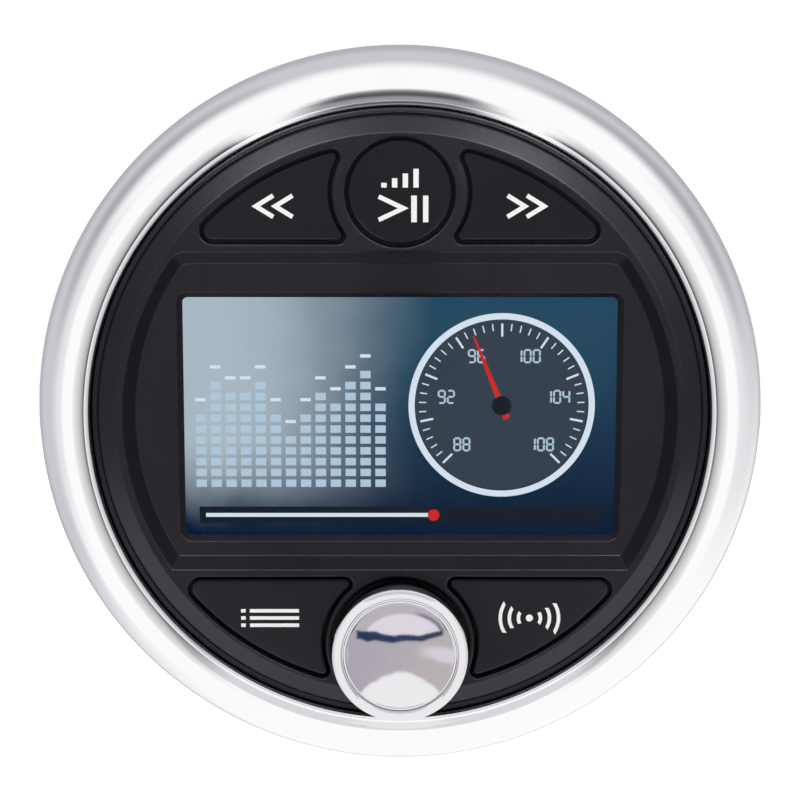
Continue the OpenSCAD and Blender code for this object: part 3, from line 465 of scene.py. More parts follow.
# A slope's points are shares of its run and its depth
recessForm = {"r": 42.3, "top": 25.45, "low": 23.7, "run": 1.9, "sideRun": 1.95, "depth": 1.4,
              "topCorner": 2.6, "lowCorner": 0.25,
              "slope": [(-0.09, 0), (-0.03, 0.012), (0.03, 0.045), (0.09, 0.09), (0.91, 0.91), (0.97, 0.955),
                        (1.03, 0.988), (1.09, 1)]}
windowForm = {"w": 66.1, "h": 37.0, "y": -0.2, "bevel": 0.8, "bevelDepth": 0.9, "lap": 2.0, "lowCorner": 1.5,
              "topCorner": 0.8, "cornerGrow": 0.6,
              "slope": [(1.2, 0), (1.06, 0.02), (0.94, 0.08), (0.8, 0.2), (0.1, 0.9), (0, 1)]}
wellForm = {"y": knobY, "r": 10.75, "floor": 9.0, "flare": 0.28, "lap": 0.05, "cup": 11.5, "cupTop": 9.3,
            "cupBack": 7.2, "bush": 3.8, "toolOver": 3, "toolSpread": 0.4}


def cutCircle(r, top, low, topCorner, lowCorner):  # a circle cut flat above and below, with round corners
    def corner(line, c):
        return sqrt((r - c) ** 2 - (line - c) ** 2), line - c

    tx, ty = corner(top, topCorner)
    lx, ly = corner(low, lowCorner)
    topTurn, lowTurn = degrees(atan2(ty, tx)), degrees(atan2(ly, lx))
    loop = arcPoints(lx, -ly, lowCorner, -90, -lowTurn, 6) + arcPoints(0, 0, r, -lowTurn, topTurn, 48)
    loop += arcPoints(tx, ty, topCorner, topTurn, 90, 10)
    loop += arcPoints(-tx, ty, topCorner, 90, 180 - topTurn, 10)
    loop += arcPoints(0, 0, r, 180 - topTurn, 180 + lowTurn, 48)
    return loop + arcPoints(-lx, -ly, lowCorner, 180 + lowTurn, 270, 6)


def recessLoop(form, t):  # t runs from 0 at the flat top to 1 at the sunk floor
    top, low = form["top"] - form["run"] * t, form["low"] - form["run"] * t
    return cutCircle(form["r"] - form["sideRun"] * t, top, low, form["topCorner"], form["lowCorner"])


def windowLoop(form, grow):
    low, high = [form[key] + grow * form["cornerGrow"] for key in ("lowCorner", "topCorner")]
    loop = roundedBox(form["w"] + 2 * grow, form["h"] + 2 * grow, low, high)
    return [(x, y + form["y"]) for x, y in loop]


def openingStack(loopAt, soft, back):  # a rounded edge, then a straight wall down
    edge = [(loopAt(soft * (sin(a) - 1)), faceTop - soft * (1 - cos(a))) for a in quarter(5)]
    return edge + [(loopAt(0), back)]


def shoulderProfile(form):  # over the ridge, down into the groove, round the flange and up behind the plate
    low, lean = faceTop - form["drop"], radians(form["lean"])
    turn, ease, foot = form["ridgeRound"], form["ridgeEase"], form["foot"]
    groove, soft = form["groove"], form["grooveRound"]
    belly = soft * form["belly"]
    ridgeX, ridgeZ = form["plateau"] + form["ridge"], faceTop - form["ridge"] * tan(lean)
    profile = [(form["plateau"] + out, faceTop - fall) for out, fall in form["brow"]]
    profile += [(ridgeX - ease, ridgeZ + ease * tan(lean))]
    for a in [radians(a) for a in range(form["lean"], form["ridgeTurn"] + 1, 8)]:
        profile.append((ridgeX + turn * (sin(a) - sin(lean)), ridgeZ + turn * (cos(a) - cos(lean))))
    footX, footZ = profile[-1]
    footX += (footZ - low - foot * form["footRise"]) * form["footRun"]
    for a in [radians(a) for a in range(form["footTurn"], -1, -12)]:
        profile.append((footX + foot * (form["footReach"] - sin(a)), low + foot * (1 - cos(a))))
    profile += [(groove - soft, low), (groove - belly, low - belly), (groove, low - soft)]
    return profile + [(groove, form["flangeTop"]), (form["flange"], form["flangeTop"]),
                      (form["flange"], form["back"]), (form["cavity"], form["back"]),
                      (form["cavity"], form["plateBack"])]


def wellTool(form):  # the knob's bore with its rounded edge
    r, flare = form["r"], form["flare"]
    profile = [(r, form["floor"])]
    for a in [radians(a) for a in range(90, -1, -18)]:
        profile.append((r + flare * (1 - sin(a)), faceTop - flare * (1 - cos(a))))
    profile.append((r + form["toolSpread"], faceTop + form["toolOver"]))
    tool = Skin()
    tool.spindle(profile, 160, 0, form["y"])
    return tool.build("well_tool")


def makeWellCup(form):
    bush, wall, cup = form["bush"], form["r"] + form["lap"], form["cup"]
    floor, top, back = form["floor"], form["cupTop"], form["cupBack"]
    skin = Skin()
    profile = [(bush, floor), (wall, floor), (wall, top), (cup, top), (cup, back), (bush, back)]
    skin.lathe(profile, 120, 0, form["y"])
    return dress(skin.build("fascia_knob_well"), fasciaBlack, "housing")


def makeFascia(form, recess, window, well):
    skin = Skin()
    floor = faceTop - recess["depth"]
    soft, plateBack, trayIn = form["openRound"], form["plateBack"], form["trayIn"]
    openings = [skin.stack(openingStack(playLoop, soft, plateBack))]
    for o, sideX, sideY in keyPlaces.values():
        openings.append(skin.stack(openingStack(lambda d: keyLoop(o, d, sideX, sideY), soft, plateBack)))
    sunk = skin.stack([(recessLoop(recess, t), faceTop - recess["depth"] * d) for t, d in recess["slope"]])
    bevel = [(windowLoop(window, window["bevel"] * out), floor - window["bevelDepth"] * down)
             for out, down in window["slope"]]
    lap = windowLoop(window, window["lap"])
    windowRings = skin.stack(bevel + [(lap, floor - window["bevelDepth"]), (lap, form["trayBack"])])
    tray = cutCircle(form["plateau"] + form["trayOut"], recess["top"] - trayIn, recess["low"] - trayIn,
                     form["trayCorner"], form["trayCorner"])
    trayRings = skin.stack([(tray, plateBack), (tray, form["trayBack"])])
    sides = skin.lathe(shoulderProfile(form), form["segments"], closed=False)
    skin.fill(sides[0], sunk[0], *[rings[0] for rings in openings])
    skin.fill(sunk[-1], windowRings[0])
    skin.fill(trayRings[1], windowRings[-1])
    skin.fill(sides[-1], trayRings[0], *[rings[-1] for rings in openings])
    piece = skin.build("fascia")
    carve(piece, wellTool(well))
    makeWellCup(well)
    return dress(piece, fasciaBlack, "housing", ["front_fascia"], sharp=32)


makeFascia(fasciaForm, recessForm, windowForm, wellForm)
print("fascia made")

# Keys: a cap with a rounded edge, the flange that keeps it behind the fascia, and its stem
keyForm = {"gap": 0.42, "top": 10.8, "round": 0.5, "lap": 0.2, "flange": 0.8, "wellClear": 0.65,
           "flangeTop": 9.1, "back": 8.1, "stem": 2.4, "stemBack": 7.2, "stemIn": 9.6, "stemUp": 5.6}


def makeKey(name, body, loopAt, flangeLoop, stemAt, form):
    gap, top, soft, back = form["gap"], form["top"], form["round"], form["back"]
    wall = [(gap, form["flangeTop"] - form["lap"])]
    wall += [(gap + soft * (1 - cos(a)), top - soft * (1 - sin(a))) for a in quarter(6)]
    cap, flange, stem = Skin(), Skin(), Skin()
    cap.fillStack([(loopAt(inset), z) for inset, z in wall])
    flange.slab(flangeLoop, back, form["flangeTop"])
    stem.slab(circleLoop(form["stem"], 32, *stemAt), form["stemBack"], back + form["lap"])
    piece = cap.build(name)
    carve(piece, flange.build("flange"), "UNION")
    carve(piece, stem.build("stem"), "UNION")
    return dress(piece, keyBlack, body, [body], sharp=40)


def makeKeys(form):
    makeKey("cap_play", "key_play", playLoop, playLoop(-form["flange"]), (0, playOpen["y"]), form)
    for body, (o, sideX, sideY) in keyPlaces.items():
        side = form["flange"] if sideY > 0 else -form["wellClear"]
        wide = dict(o, outer=o["outer"] + form["flange"], edge=o["edge"] - form["flange"],
                    hollow=o["hollow"] - side)
        stemAt = (-sideX * (o["hollow"] + form["stemIn"]), sideY * (o["edge"] + form["stemUp"]))
        makeKey(body.replace("key", "cap"), body, lambda d: keyLoop(o, d, sideX, sideY),
                keyLoop(wide, 0, sideX, sideY), stemAt, form)


makeKeys(keyForm)
print("keys made")

# Knob: a straight chromed sleeve with a rounded rim, and a dished mirror set into its front
knobLow, knobHigh = spanOf("knob_sleeve")
knobForm = {"y": knobY, "draft": 0.25, "wall": 1.3, "web": 13.8, "webThick": 1.2, "backEdge": 0.15,
            "rim": 1.75, "outer": (0.95, 0.8), "inner": (0.8, 0.3), "innerTurn": 54, "dishSink": 0.36,
            "dishDepth": 1.25, "dishEdge": 0.3, "dishRound": 0.12, "dishFit": 0.05, "bowlLap": 0.05,
            "bowlStep": 0.03, "segments": 256}


def makeBarrel(form, r, back, front):
    side, edge, hole = r - form["draft"], form["backEdge"], r - form["rim"]
    inside, turn = side - form["wall"], radians(form["innerTurn"])
    (outW, outH), (inW, inH) = form["outer"], form["inner"]
    profile = [(inside, form["web"]), (inside, back), (side - edge, back), (side, back + edge)]
    for a in [radians(a) for a in range(0, 90, 6)]:
        profile.append((r - outW + outW * cos(a), front - outH + outH * sin(a)))
    for a in [turn * i / 10 for i in range(11)]:
        profile.append((hole + inW * (1 - sin(a) / sin(turn)), front - inH * (1 - cos(a)) / (1 - cos(turn))))
    profile.append((hole, form["web"] + form["webThick"]))
    barrel = Skin()
    barrel.spindle(profile, form["segments"], 0, form["y"])
    return dress(barrel.build("knob_barrel"), knobChrome, "knob", ["knob_sleeve"], sharp=30)


def makeDish(form, r, front):
    top, edge, soft = front - form["dishSink"], r - form["rim"] - form["dishFit"], form["dishRound"]
    bowl, depth = edge - form["dishEdge"], form["dishDepth"]
    ball = (bowl ** 2 + depth ** 2) / (2 * depth)
    profile = [(edge, form["web"] + form["webThick"])]
    profile += arcPoints(edge - soft, top - soft, soft, 0, 90, 5)
    profile += [(edge - soft, top), (bowl + form["bowlLap"], top)]
    for turn in [asin(bowl / ball) * i / 32 for i in range(32, 0, -1)]:
        profile.append((ball * sin(turn), top - depth + ball * (1 - cos(turn)) - form["bowlStep"]))
    dish = Skin()
    dish.spindle(profile, form["segments"], 0, form["y"])
    return dress(dish.build("knob_mirror"), knobChrome, "knob", ["knob_dish"], sharp=20)


makeBarrel(knobForm, knobHigh.x, knobLow.z, knobHigh.z)
makeDish(knobForm, knobHigh.x, knobHigh.z)
print("knob made")

# Marks on the keys: thin white prints
markForm = {"stroke": 0.68, "low": 10.6, "high": 10.83}
arrowForm = {"x": (-19.0, -16.1), "y": 32.3, "w": -2.6, "h": 3.2}
playForm = {"arrow": (-3.2, 32.0, 3.7, 3.5), "pause": [(2.1, 31.9, 0.85, 4.0), (3.85, 31.9, 0.8, 4.0)]}
signalForm = {"bars": 4, "x": -2.4, "step": 1.6, "foot": 35.1, "w": 0.8, "rise": 0.7}
listForm = {"y": -31.4, "step": 1.15, "h": 0.55, "dot": (-24.2, 0.7), "line": (-19.4, 7.6)}
waveForm = {"x": 20, "y": -31.4, "dot": 0.55, "rings": (1.7, 3.1, 4.5), "half": 0.27, "turn": 34}


def strokeLoop(points, width):  # a bent line of even width, with square ends and a mitred corner
    a, b, c = [Vector(point) for point in points]
    first, second = (b - a).normalized(), (c - b).normalized()
    n1, n2 = Vector((-first.y, first.x)), Vector((-second.y, second.x))
    mitre = (n1 + n2) / (1 + n1.dot(n2))
    half = width / 2
    left = [a + n1 * half, b + mitre * half, c + n2 * half]
    right = [c - n2 * half, b - mitre * half, a - n1 * half]
    return [tuple(point) for point in left + right]


def chevron(x, y, w, h):  # points to the right where w is positive
    return [(x, y + h / 2), (x + w, y), (x, y - h / 2)]


def boxLoop(x, y, w, h):
    return [(x - w / 2, y - h / 2), (x + w / 2, y - h / 2), (x + w / 2, y + h / 2), (x - w / 2, y + h / 2)]


def signalLoops(form):
    rises = [form["rise"] * (i + 1) for i in range(form["bars"])]
    return [boxLoop(form["x"] + form["step"] * i, form["foot"] + rise / 2, form["w"], rise)
            for i, rise in enumerate(rises)]


def listLoops(form):
    rows = [form["y"] + form["step"] * i for i in (1, 0, -1)]
    return [boxLoop(x, y, w, form["h"]) for y in rows for x, w in (form["dot"], form["line"])]


def waveLoops(form):
    x, y, half, turn = form["x"], form["y"], form["half"], form["turn"]
    loops = [circleLoop(form["dot"], 24, x, y)]
    for r in form["rings"]:
        for side in (0, 180):
            loops.append(arcPoints(x, y, r + half, side - turn, side + turn, 14)
                         + arcPoints(x, y, r - half, side + turn, side - turn, 14))
    return loops


def makeMark(name, body, loops):
    skin = Skin()
    for loop in loops:
        skin.slab(loop, markForm["low"], markForm["high"])
    return dress(skin.build(name), printWhite, body)


def makeMarks(stroke, arrow):
    back = [strokeLoop(chevron(x, arrow["y"], arrow["w"], arrow["h"]), stroke) for x in arrow["x"]]
    makeMark("mark_back", "key_back", back)
    makeMark("mark_forward", "key_forward", [mirrored(loop, -1) for loop in back])
    play = [strokeLoop(chevron(*playForm["arrow"]), stroke)] + [boxLoop(*bar) for bar in playForm["pause"]]
    makeMark("mark_play", "key_play", play + signalLoops(signalForm))
    makeMark("mark_list", "key_mode", listLoops(listForm))
    makeMark("mark_waves", "key_band", waveLoops(waveForm))


makeMarks(markForm["stroke"], arrowForm)
print("marks made")

# Screen picture: lit plates behind the window, with a tuner dial, level columns and a track line
screenForm = {"w": 66.9, "h": 37.5, "y": -0.2, "corner": 0.3, "glass": 7.4, "thin": 0.05, "gap": 0.02}
fieldForm = {"cloud": 0.03, "across": (-0.03, 0.006), "acrossSway": 0.022, "down": (-0.019, 0.017),
             "downSway": 0.016, "lit": (-0.017, -0.004), "litSway": 0.02, "share": 0.92,
             "navy": (0.0006, 0.010, 0.036), "sea": (0.014, 0.064, 0.112), "pale": (0.44, 0.52, 0.58)}
dialForm = {"x": 15.6, "y": 1.6, "r": 13.2, "rim": (1.1, 0.15), "start": 225, "sweep": 270, "ticks": 40,
            "every": 5, "tickIn": 0.5, "long": (2.0, 0.32), "short": (1.1, 0.18), "figureIn": 4.6,
            "figureH": 1.9, "figures": ("88", "92", "96", "100", "104", "108"), "handTurn": 112,
            "handRoot": (-2.2, 0.55), "handTip": (1.6, 0.14), "hub": 1.5}
levelForm = {"columns": 13, "x": -30.6, "step": 2.3, "foot": -10.6, "rise": 1.7, "w": 1.6, "h": 1.15,
             "capUp": 0.7, "capH": 0.5}
trackForm = {"y": -15.6, "bed": (62.0, 2.6), "lineX": -12.5, "line": (35, 0.6), "markX": 5.2, "mark": 0.9}
digitForm = {"w": 0.5, "stroke": 0.15, "step": 0.74, "flat": 0.8, "tall": 0.84}  # shares of the height
digitBars = {"0": "abcdef", "1": "bc", "2": "abged", "4": "fgbc", "6": "afgedc", "8": "abcdefg",
             "9": "abcdfg"}


def closeGlow(tree, light):
    tree.close(Base_Color=opaque(0.004, 0.004, 0.005), Roughness=0.6, Specular_IOR_Level=0.0,
               Emission_Color=light, Emission_Strength=1.0)


def glow(name, tone, dim=0.9, speck=0.0004):
    finish, tree = newFinish(name)
    specks = tree.noise(tree.place(), speck, 2)
    closeGlow(tree, tree.mix(specks, shaded(tone, dim), opaque(*tone)))
    return finish


def glowField(name, form):  # pale on the left, sea green above on the right, navy below
    finish, tree = newFinish(name)
    at = tree.place()
    x, y, z = tree.axes(at)
    clouds = tree.noise(at, form["cloud"], 4, 0.55) - 0.5
    across = tree.stretch(x + clouds * form["acrossSway"], *form["across"], 1, 0)
    down = tree.stretch(z + clouds * form["downSway"], *form["down"])
    lit = across * tree.stretch(z + clouds * form["litSway"], *form["lit"]) * form["share"]
    deep = tree.mix(down, opaque(*form["navy"]), opaque(*form["sea"]))
    closeGlow(tree, tree.mix(lit, deep, opaque(*form["pale"])))
    return finish


glowPale = glow("screen_pale", (0.72, 0.80, 0.88))
glowIce = glow("screen_ice", (0.46, 0.60, 0.72))
glowGrey = glow("screen_grey", (0.035, 0.05, 0.07))
glowDark = glow("screen_dark", (0.006, 0.010, 0.018))
glowRed = glow("screen_red", (0.62, 0.02, 0.015))


def turned(loop, cx, cy, turn):
    c, s = cos(radians(turn)), sin(radians(turn))
    return [(cx + x * c - y * s, cy + x * s + y * c) for x, y in loop]


def digitLoops(digits, x, y, h, form):  # plain numerals from straight bars
    w, t, step = h * form["w"], h * form["stroke"], h * form["step"]
    flat, tall = (w * form["flat"], t), (t, h / 2 * form["tall"])
    bars = {"a": (0, h / 2, *flat), "g": (0, 0, *flat), "d": (0, -h / 2, *flat), "f": (-w / 2, h / 4, *tall),
            "b": (w / 2, h / 4, *tall), "e": (-w / 2, -h / 4, *tall), "c": (w / 2, -h / 4, *tall)}
    loops = []
    for i, digit in enumerate(digits):
        middle = x + (i - (len(digits) - 1) / 2) * step
        for barX, barY, barW, barH in [bars[bar] for bar in digitBars[digit]]:
            loops.append(boxLoop(middle + barX, y + barY, barW, barH))
    return loops


def plate(name, finish, loops, layer):
    skin = Skin()
    low = screenForm["glass"] + (screenForm["thin"] + screenForm["gap"]) * layer
    high = low + screenForm["thin"]
    for entry in loops:
        if isinstance(entry[0], list):  # a ring: its outer and inner loops
            outer, inner = [skin.stack([(loop, low), (loop, high)]) for loop in entry]
            skin.fill(outer[0], inner[0])
            skin.fill(outer[1], inner[1])
        else:
            skin.slab(entry, low, high)
    skin.points = [(x, y + screenForm["y"], z) for x, y, z in skin.points]
    return dress(skin.build(name), finish, "housing")


def makeDial(form):
    cx, cy, r, start, sweep = [form[key] for key in ("x", "y", "r", "start", "sweep")]
    plate("screen_dial_face", glowGrey, [circleLoop(r, 128, cx, cy)], 1)
    scale = [[circleLoop(r + out, 128, cx, cy) for out in form["rim"]]]
    for i in range(form["ticks"] + 1):
        long, wide = form["short"] if i % form["every"] else form["long"]
        tick = boxLoop(r - form["tickIn"] - long / 2, 0, long, wide)
        scale.append(turned(tick, cx, cy, start - sweep / form["ticks"] * i))
    plate("screen_dial_scale", glowPale, scale, 2)
    figures, reach = [], r - form["figureIn"]
    for i, digits in enumerate(form["figures"]):
        turn = radians(start - sweep / (len(form["figures"]) - 1) * i)
        x, y = cx + reach * cos(turn), cy + reach * sin(turn)
        figures += digitLoops(digits, x, y, form["figureH"], digitForm)
    plate("screen_dial_figures", glowIce, figures, 2)
    (root, rootHalf), (tipIn, tipHalf) = form["handRoot"], form["handTip"]
    hand = [(root, -rootHalf), (r - tipIn, -tipHalf), (r - tipIn, tipHalf), (root, rootHalf)]
    plate("screen_dial_hand", glowRed, [turned(hand, cx, cy, form["handTurn"])], 3)
    plate("screen_dial_hub", glowDark, [circleLoop(form["hub"], 48, cx, cy)], 4)


def makeLevels(form):
    columns, caps = [], []
    for i in range(form["columns"]):
        # made-up levels from a few waves
        level = 3 + round(4.2 * (1 + sin(i * 1.31) * cos(i * 0.47 + 0.6)) + 1.6 * sin(i * 2.3) ** 2)
        x, top = form["x"] + form["step"] * i, form["foot"] + form["rise"] * (level + form["capUp"])
        columns += [boxLoop(x, form["foot"] + form["rise"] * j, form["w"], form["h"]) for j in range(level)]
        caps.append(boxLoop(x, top, form["w"], form["capH"]))
    plate("screen_level_columns", glowIce, columns, 1)
    plate("screen_level_caps", glowPale, caps, 1)


def makeTrack(form):
    plate("screen_track_bed", glowDark, [boxLoop(0, form["y"], *form["bed"])], 1)
    plate("screen_track_line", glowPale, [boxLoop(form["lineX"], form["y"], *form["line"])], 2)
    plate("screen_track_mark", glowRed, [circleLoop(form["mark"], 40, form["markX"], form["y"])], 3)


field = roundedBox(screenForm["w"], screenForm["h"], screenForm["corner"], screenForm["corner"])
plate("screen_field", glowField("screen_field_light", fieldForm), [field], 0)
makeDial(dialForm)
makeLevels(levelForm)
makeTrack(trackForm)
print("screen made")

# Rear fasteners: cross-headed screws, threaded studs and wing nuts; depths run rearwards from the panel plane
screwForms = {
    "cover": {"node": "cover_screws", "at": [(x, y) for x in (-28.92, 28.92) for y in (-28.92, 28.92)],
              "r": 2.6, "seat": 53.3, "height": 2.0, "shank": 1.3, "end": 46.3},
    "sink": {"node": "heat_sink_screws", "at": [(-19.4, 23), (19.4, 23)],
             "r": 2.3, "seat": 56.3, "height": 2.0, "shank": 1.3, "end": 50.9},
}
headForm = {"edge": 0.12, "skirt": 0.42, "point": 0.3, "pointH": 0.4}
crossForm = {"half": 0.36, "reach": 0.62, "depth": 1.1, "over": 0.2, "taper": 0.55, "turn": 23,
             "turnStep": 31}
studForm = {"x": 34, "r": 2.0, "minor": 1.7, "pitch": 0.8, "rows": 7, "points": 40, "lead": 0.8,
            "start": 50.8, "end": 81.3, "headR": 4.0, "headBack": 48.3}
nutForm = {"x": 34, "bore": 2.1, "boreEdge": 0.25, "foot": 4.2, "footEdge": 0.2, "footH": 0.9, "neck": 3.3,
           "neckOut": 0.15, "neckIn": 0.2, "neckH": 0.3, "start": 62.8, "end": 67.3, "wing": 1.8,
           "bevel": 0.3, "root": 2.6, "rootLift": 0.1, "rootDrop": 1.1, "tip": 10.2, "waist": (1.6, 0.5),
           "crook": (1.4, 0.9), "earFirst": -75, "earLast": 110, "wingStart": 64.0, "wingEnd": 69.3}


def makeScrews(name, form, head, cross):
    r, h, seat, shank, end = [form[key] for key in ("r", "height", "seat", "shank", "end")]
    edge, skirt = head["edge"], head["skirt"]
    profile = [(shank - head["point"], -end), (shank, -end - head["pointH"]), (shank, -seat),
               (r - edge, -seat), (r, -seat - edge), (r, -seat - skirt * h)]
    for a in [radians(a) for a in range(10, 91, 10)]:
        profile.append((r * (1 + cos(a)) / 2, -seat - h * (skirt + (1 - skirt) * sin(a))))
    half, reach = cross["half"], cross["reach"] * r
    arm = [(half, half), (half, reach), (-half, reach)]
    plus = [point for turn in (0, 90, 180, 270) for point in turned(arm, 0, 0, turn)]
    small = [(x * cross["taper"], y * cross["taper"]) for x, y in plus]
    heads, tool = Skin(), Skin()
    for i, (x, y) in enumerate(form["at"]):
        turn = cross["turn"] + cross["turnStep"] * i
        heads.spindle(profile, 48, x, y)
        tool.fillStack([(turned(small, x, y, turn), -seat - h + cross["depth"]),
                        (turned(plus, x, y, turn), -seat - h - cross["over"])])
    piece = heads.build(name)
    carve(piece, tool.build("cross"))
    return dress(piece, screwSteel, "housing", [form["node"]], sharp=32)


def threadLoop(form, x, depth):
    r, minor, count = form["r"], form["minor"], form["points"]
    limit = min(r, minor + (form["end"] - depth) * form["lead"])
    loop = []
    for i in range(count):
        wave = abs(2 * ((depth / form["pitch"] - i / count) % 1) - 1)
        reach, turn = min(limit, minor + (r - minor) * wave), radians(360 * i / count)
        loop.append((x + reach * cos(turn), reach * sin(turn)))
    return loop


def makeStuds(form):
    skin = Skin()
    start, length = form["start"], form["end"] - form["start"]
    rows = round(length / form["pitch"] * form["rows"])
    depths = [start + length * k / rows for k in range(rows + 1)]
    for x in (-form["x"], form["x"]):
        skin.fillStack([(threadLoop(form, x, depth), -depth) for depth in depths])
        skin.slab(circleLoop(form["headR"], 6, x), -form["headBack"], -start)
    return dress(skin.build("clamp_studs"), zincSteel, "housing", ["mount_studs"], sharp=60)


def wingOutline(form):  # a wing's reach and depth
    start, end, root = form["wingStart"], form["end"], form["root"]
    ear = (form["wingEnd"] - start) / 2
    earV, earD = form["tip"] - ear, start + ear
    (waistV, waistD), (crookV, crookD) = form["waist"], form["crook"]
    outline = [(root, start + form["rootLift"]), (earV - waistV, start + waistD)]
    outline += arcPoints(earV, earD, ear, form["earFirst"], form["earLast"], 26)
    return outline + [(root + crookV, end - crookD), (root, end - form["rootDrop"])]


def makeNuts(form):
    start, end, bore, edge = form["start"], form["end"], form["bore"], form["boreEdge"]
    foot, rim, neck = form["foot"], form["footEdge"], form["neck"]
    profile = [(bore, -start), (foot - rim, -start), (foot, -start - rim), (foot, -start - form["footH"]),
               (neck + form["neckOut"], -end + form["neckH"]), (neck - form["neckIn"], -end),
               (bore + edge, -end), (bore, -end + edge)]
    outline = wingOutline(form)
    mid = Vector((sum(v for v, d in outline), sum(d for v, d in outline))) / len(outline)
    half, bevel = form["wing"] / 2, form["bevel"]
    shrink = 1 - bevel / 3
    small = [((v - mid.x) * shrink + mid.x, (d - mid.y) * shrink + mid.y) for v, d in outline]
    hubs, wings = Skin(), Skin()
    for x in (-form["x"], form["x"]):
        hubs.lathe(profile, 64, x)
        for side in (-1, 1):
            first = len(wings.points)
            wings.fillStack([(small, -half), (outline, bevel - half), (outline, half - bevel), (small, half)])
            wings.points[first:] = [(x + h, side * v, -d) for v, d, h in wings.points[first:]]
    piece = hubs.build("clamp_wing_nuts")
    carve(piece, wings.build("wings"), "UNION")
    return dress(piece, zincSteel, "clamp", ["wing_nuts"], sharp=38)


for name, form in screwForms.items():
    makeScrews(name + "_screw_heads", form, headForm, crossForm)
makeStuds(studForm)
makeNuts(nutForm)
print("fasteners made")

# Finishes of the nodes that keep their CAD form, and small rounds on their edges in millimetres
carried = {
    windowClear: ["display_lens"],
    glassDark: ["display_panel"],
    nickelled: ["display_frame", "antenna_socket", "rca_shells", "usb_shell", "tuner_module"],
    whitePlastic: ["display_backlight", "encoder_plunger", "rca_insert_white", "usb_tongue"],
    epoxyBlack: ["display_cradle", "amplifier_chip", "audio_processor", "switch_bodies"],
    foamGrey: ["display_pad"],
    brownPlastic: ["plunger_play", "plunger_back", "plunger_forward", "plunger_mode", "plunger_band"],
    ivoryPlastic: ["key_leds", "ribbon_sockets"],
    boardGreen: ["front_board", "main_board"],
    screwSteel: ["board_screws", "face_screws", "main_board_screws", "encoder_shaft", "encoder_body"],
    rubberBlack: ["knob_seal", "face_seal", "panel_gasket", "rear_seal"],
    canBlack: ["rear_can"],
    sleeveBlue: ["filter_capacitors"],
    copperWire: ["power_choke"],
    filmPale: ["board_ribbon"],
    socketBlack: ["harness_socket", "rca_block"],
    pinBrass: ["harness_pins"],
    redPlastic: ["rca_insert_red"],
    coverBlack: ["rear_cover"],
    sinkAluminium: ["heat_sink"],
    zincSteel: ["clamp_bracket", "clamp_washers"],
}
edgeRounds = {"heat_sink": 0.22, "clamp_bracket": 0.3, "clamp_washers": 0.18, "harness_socket": 0.3,
              "harness_pins": 0.1, "usb_shell": 0.14, "usb_tongue": 0.15, "antenna_socket": 0.3,
              "rca_shells": 0.2, "rca_insert_white": 0.2, "rca_insert_red": 0.2, "rear_cover": 0.5,
              "rear_can": 0.4, "panel_gasket": 0.4}
edgeForm = {"weld": 2e-6, "flat": 0.5, "sharp": 40, "segments": 3, "weight": 70}


def finishNodes(table):
    for finish, names in table.items():
        for name in names:
            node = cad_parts[name]
            node.data.materials.clear()
            node.data.materials.append(finish)


def roundEdges(table, form):
    for name, width in table.items():
        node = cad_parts[name]
        weld = node.modifiers.new("weld", "WELD")
        weld.merge_threshold = form["weld"]
        flat = node.modifiers.new("flat faces", "DECIMATE")
        flat.decimate_type, flat.angle_limit = "DISSOLVE", radians(form["flat"])
        bevel = node.modifiers.new("edges", "BEVEL")
        bevel.width, bevel.segments = width * mm, form["segments"]
        bevel.limit_method, bevel.angle_limit = "ANGLE", radians(form["sharp"])
        even = node.modifiers.new("even normals", "WEIGHTED_NORMAL")
        even.keep_sharp, even.weight = False, form["weight"]


finishNodes(carried)
roundEdges(edgeRounds, edgeForm)
print("nodes finished:", sum(len(names) for names in carried.values()))

# Studio: camera, soft lamps, a pale floor and a white surround with a few tones for the chrome to mirror
cameraForm = {"place": (0, -0.3593, 0.0649), "pitch": 10.1, "lens": 104.8, "sensor": 36, "near": 0.01}
floorForm = {"z": -0.115, "r": 0.6, "tone": (0.6, 0.6, 0.6), "lift": (0.62, 0.62, 0.62)}
softAim, glossAim, glossTint = (0, 0.02, 0), (0, 0, 0), (1, 0.93, 1.06)
softLamps = [("lamp_top", (0, -0.45, 0.6), (0.6, 0.3), 0.5),  # name, place, size and power
             ("lamp_left", (-0.5, -0.36, 0.4), (0.22, 0.36), 3.4),
             ("lamp_right", (0.5, -0.36, 0.4), (0.22, 0.36), 3.0),
             ("lamp_rear", (0.35, 0.7, 0.5), (0.5, 0.4), 2.5)]
glossLamps = [("gloss_left", (-0.17, -0.74, 0.25), (0.11, 0.11), 3.4, "ridge_gloss"),
              ("gloss_right", (0.17, -0.74, 0.25), (0.12, 0.11), 3.6, "ridge_gloss"),
              ("gloss_side", (0.31, -0.7, 0.1), (0.22, 0.22), 0.6, "ridge_gloss"),
              ("gloss_low", (0, -0.39, -0.39), (0.5, 0.2), 1.2, "plastic_gloss"),
              ("gloss_low_left", (-0.3, -0.46, -0.3), (0.3, 0.2), 0.8, "plastic_gloss"),
              ("gloss_low_right", (0.3, -0.46, -0.3), (0.3, 0.2), 0.8, "plastic_gloss"),
              ("gloss_front", (0, -0.75, 0.35), (1.0, 0.3), 0.16, "plastic_gloss")]
glossOn = {"ridge_gloss": ["fascia"],
           "plastic_gloss": ["fascia", "fascia_knob_well", "cap_play", "cap_back", "cap_forward", "cap_mode",
                             "cap_band"]}


def makeCamera(form):
    camera = bpy.data.objects.new("camera", bpy.data.cameras.new("camera"))
    camera.location = form["place"]
    camera.rotation_euler = (radians(90 - form["pitch"]), 0, 0)
    camera.data.lens, camera.data.sensor_width = form["lens"], form["sensor"]
    camera.data.clip_start = form["near"]
    scene.collection.objects.link(camera)
    scene.camera = camera


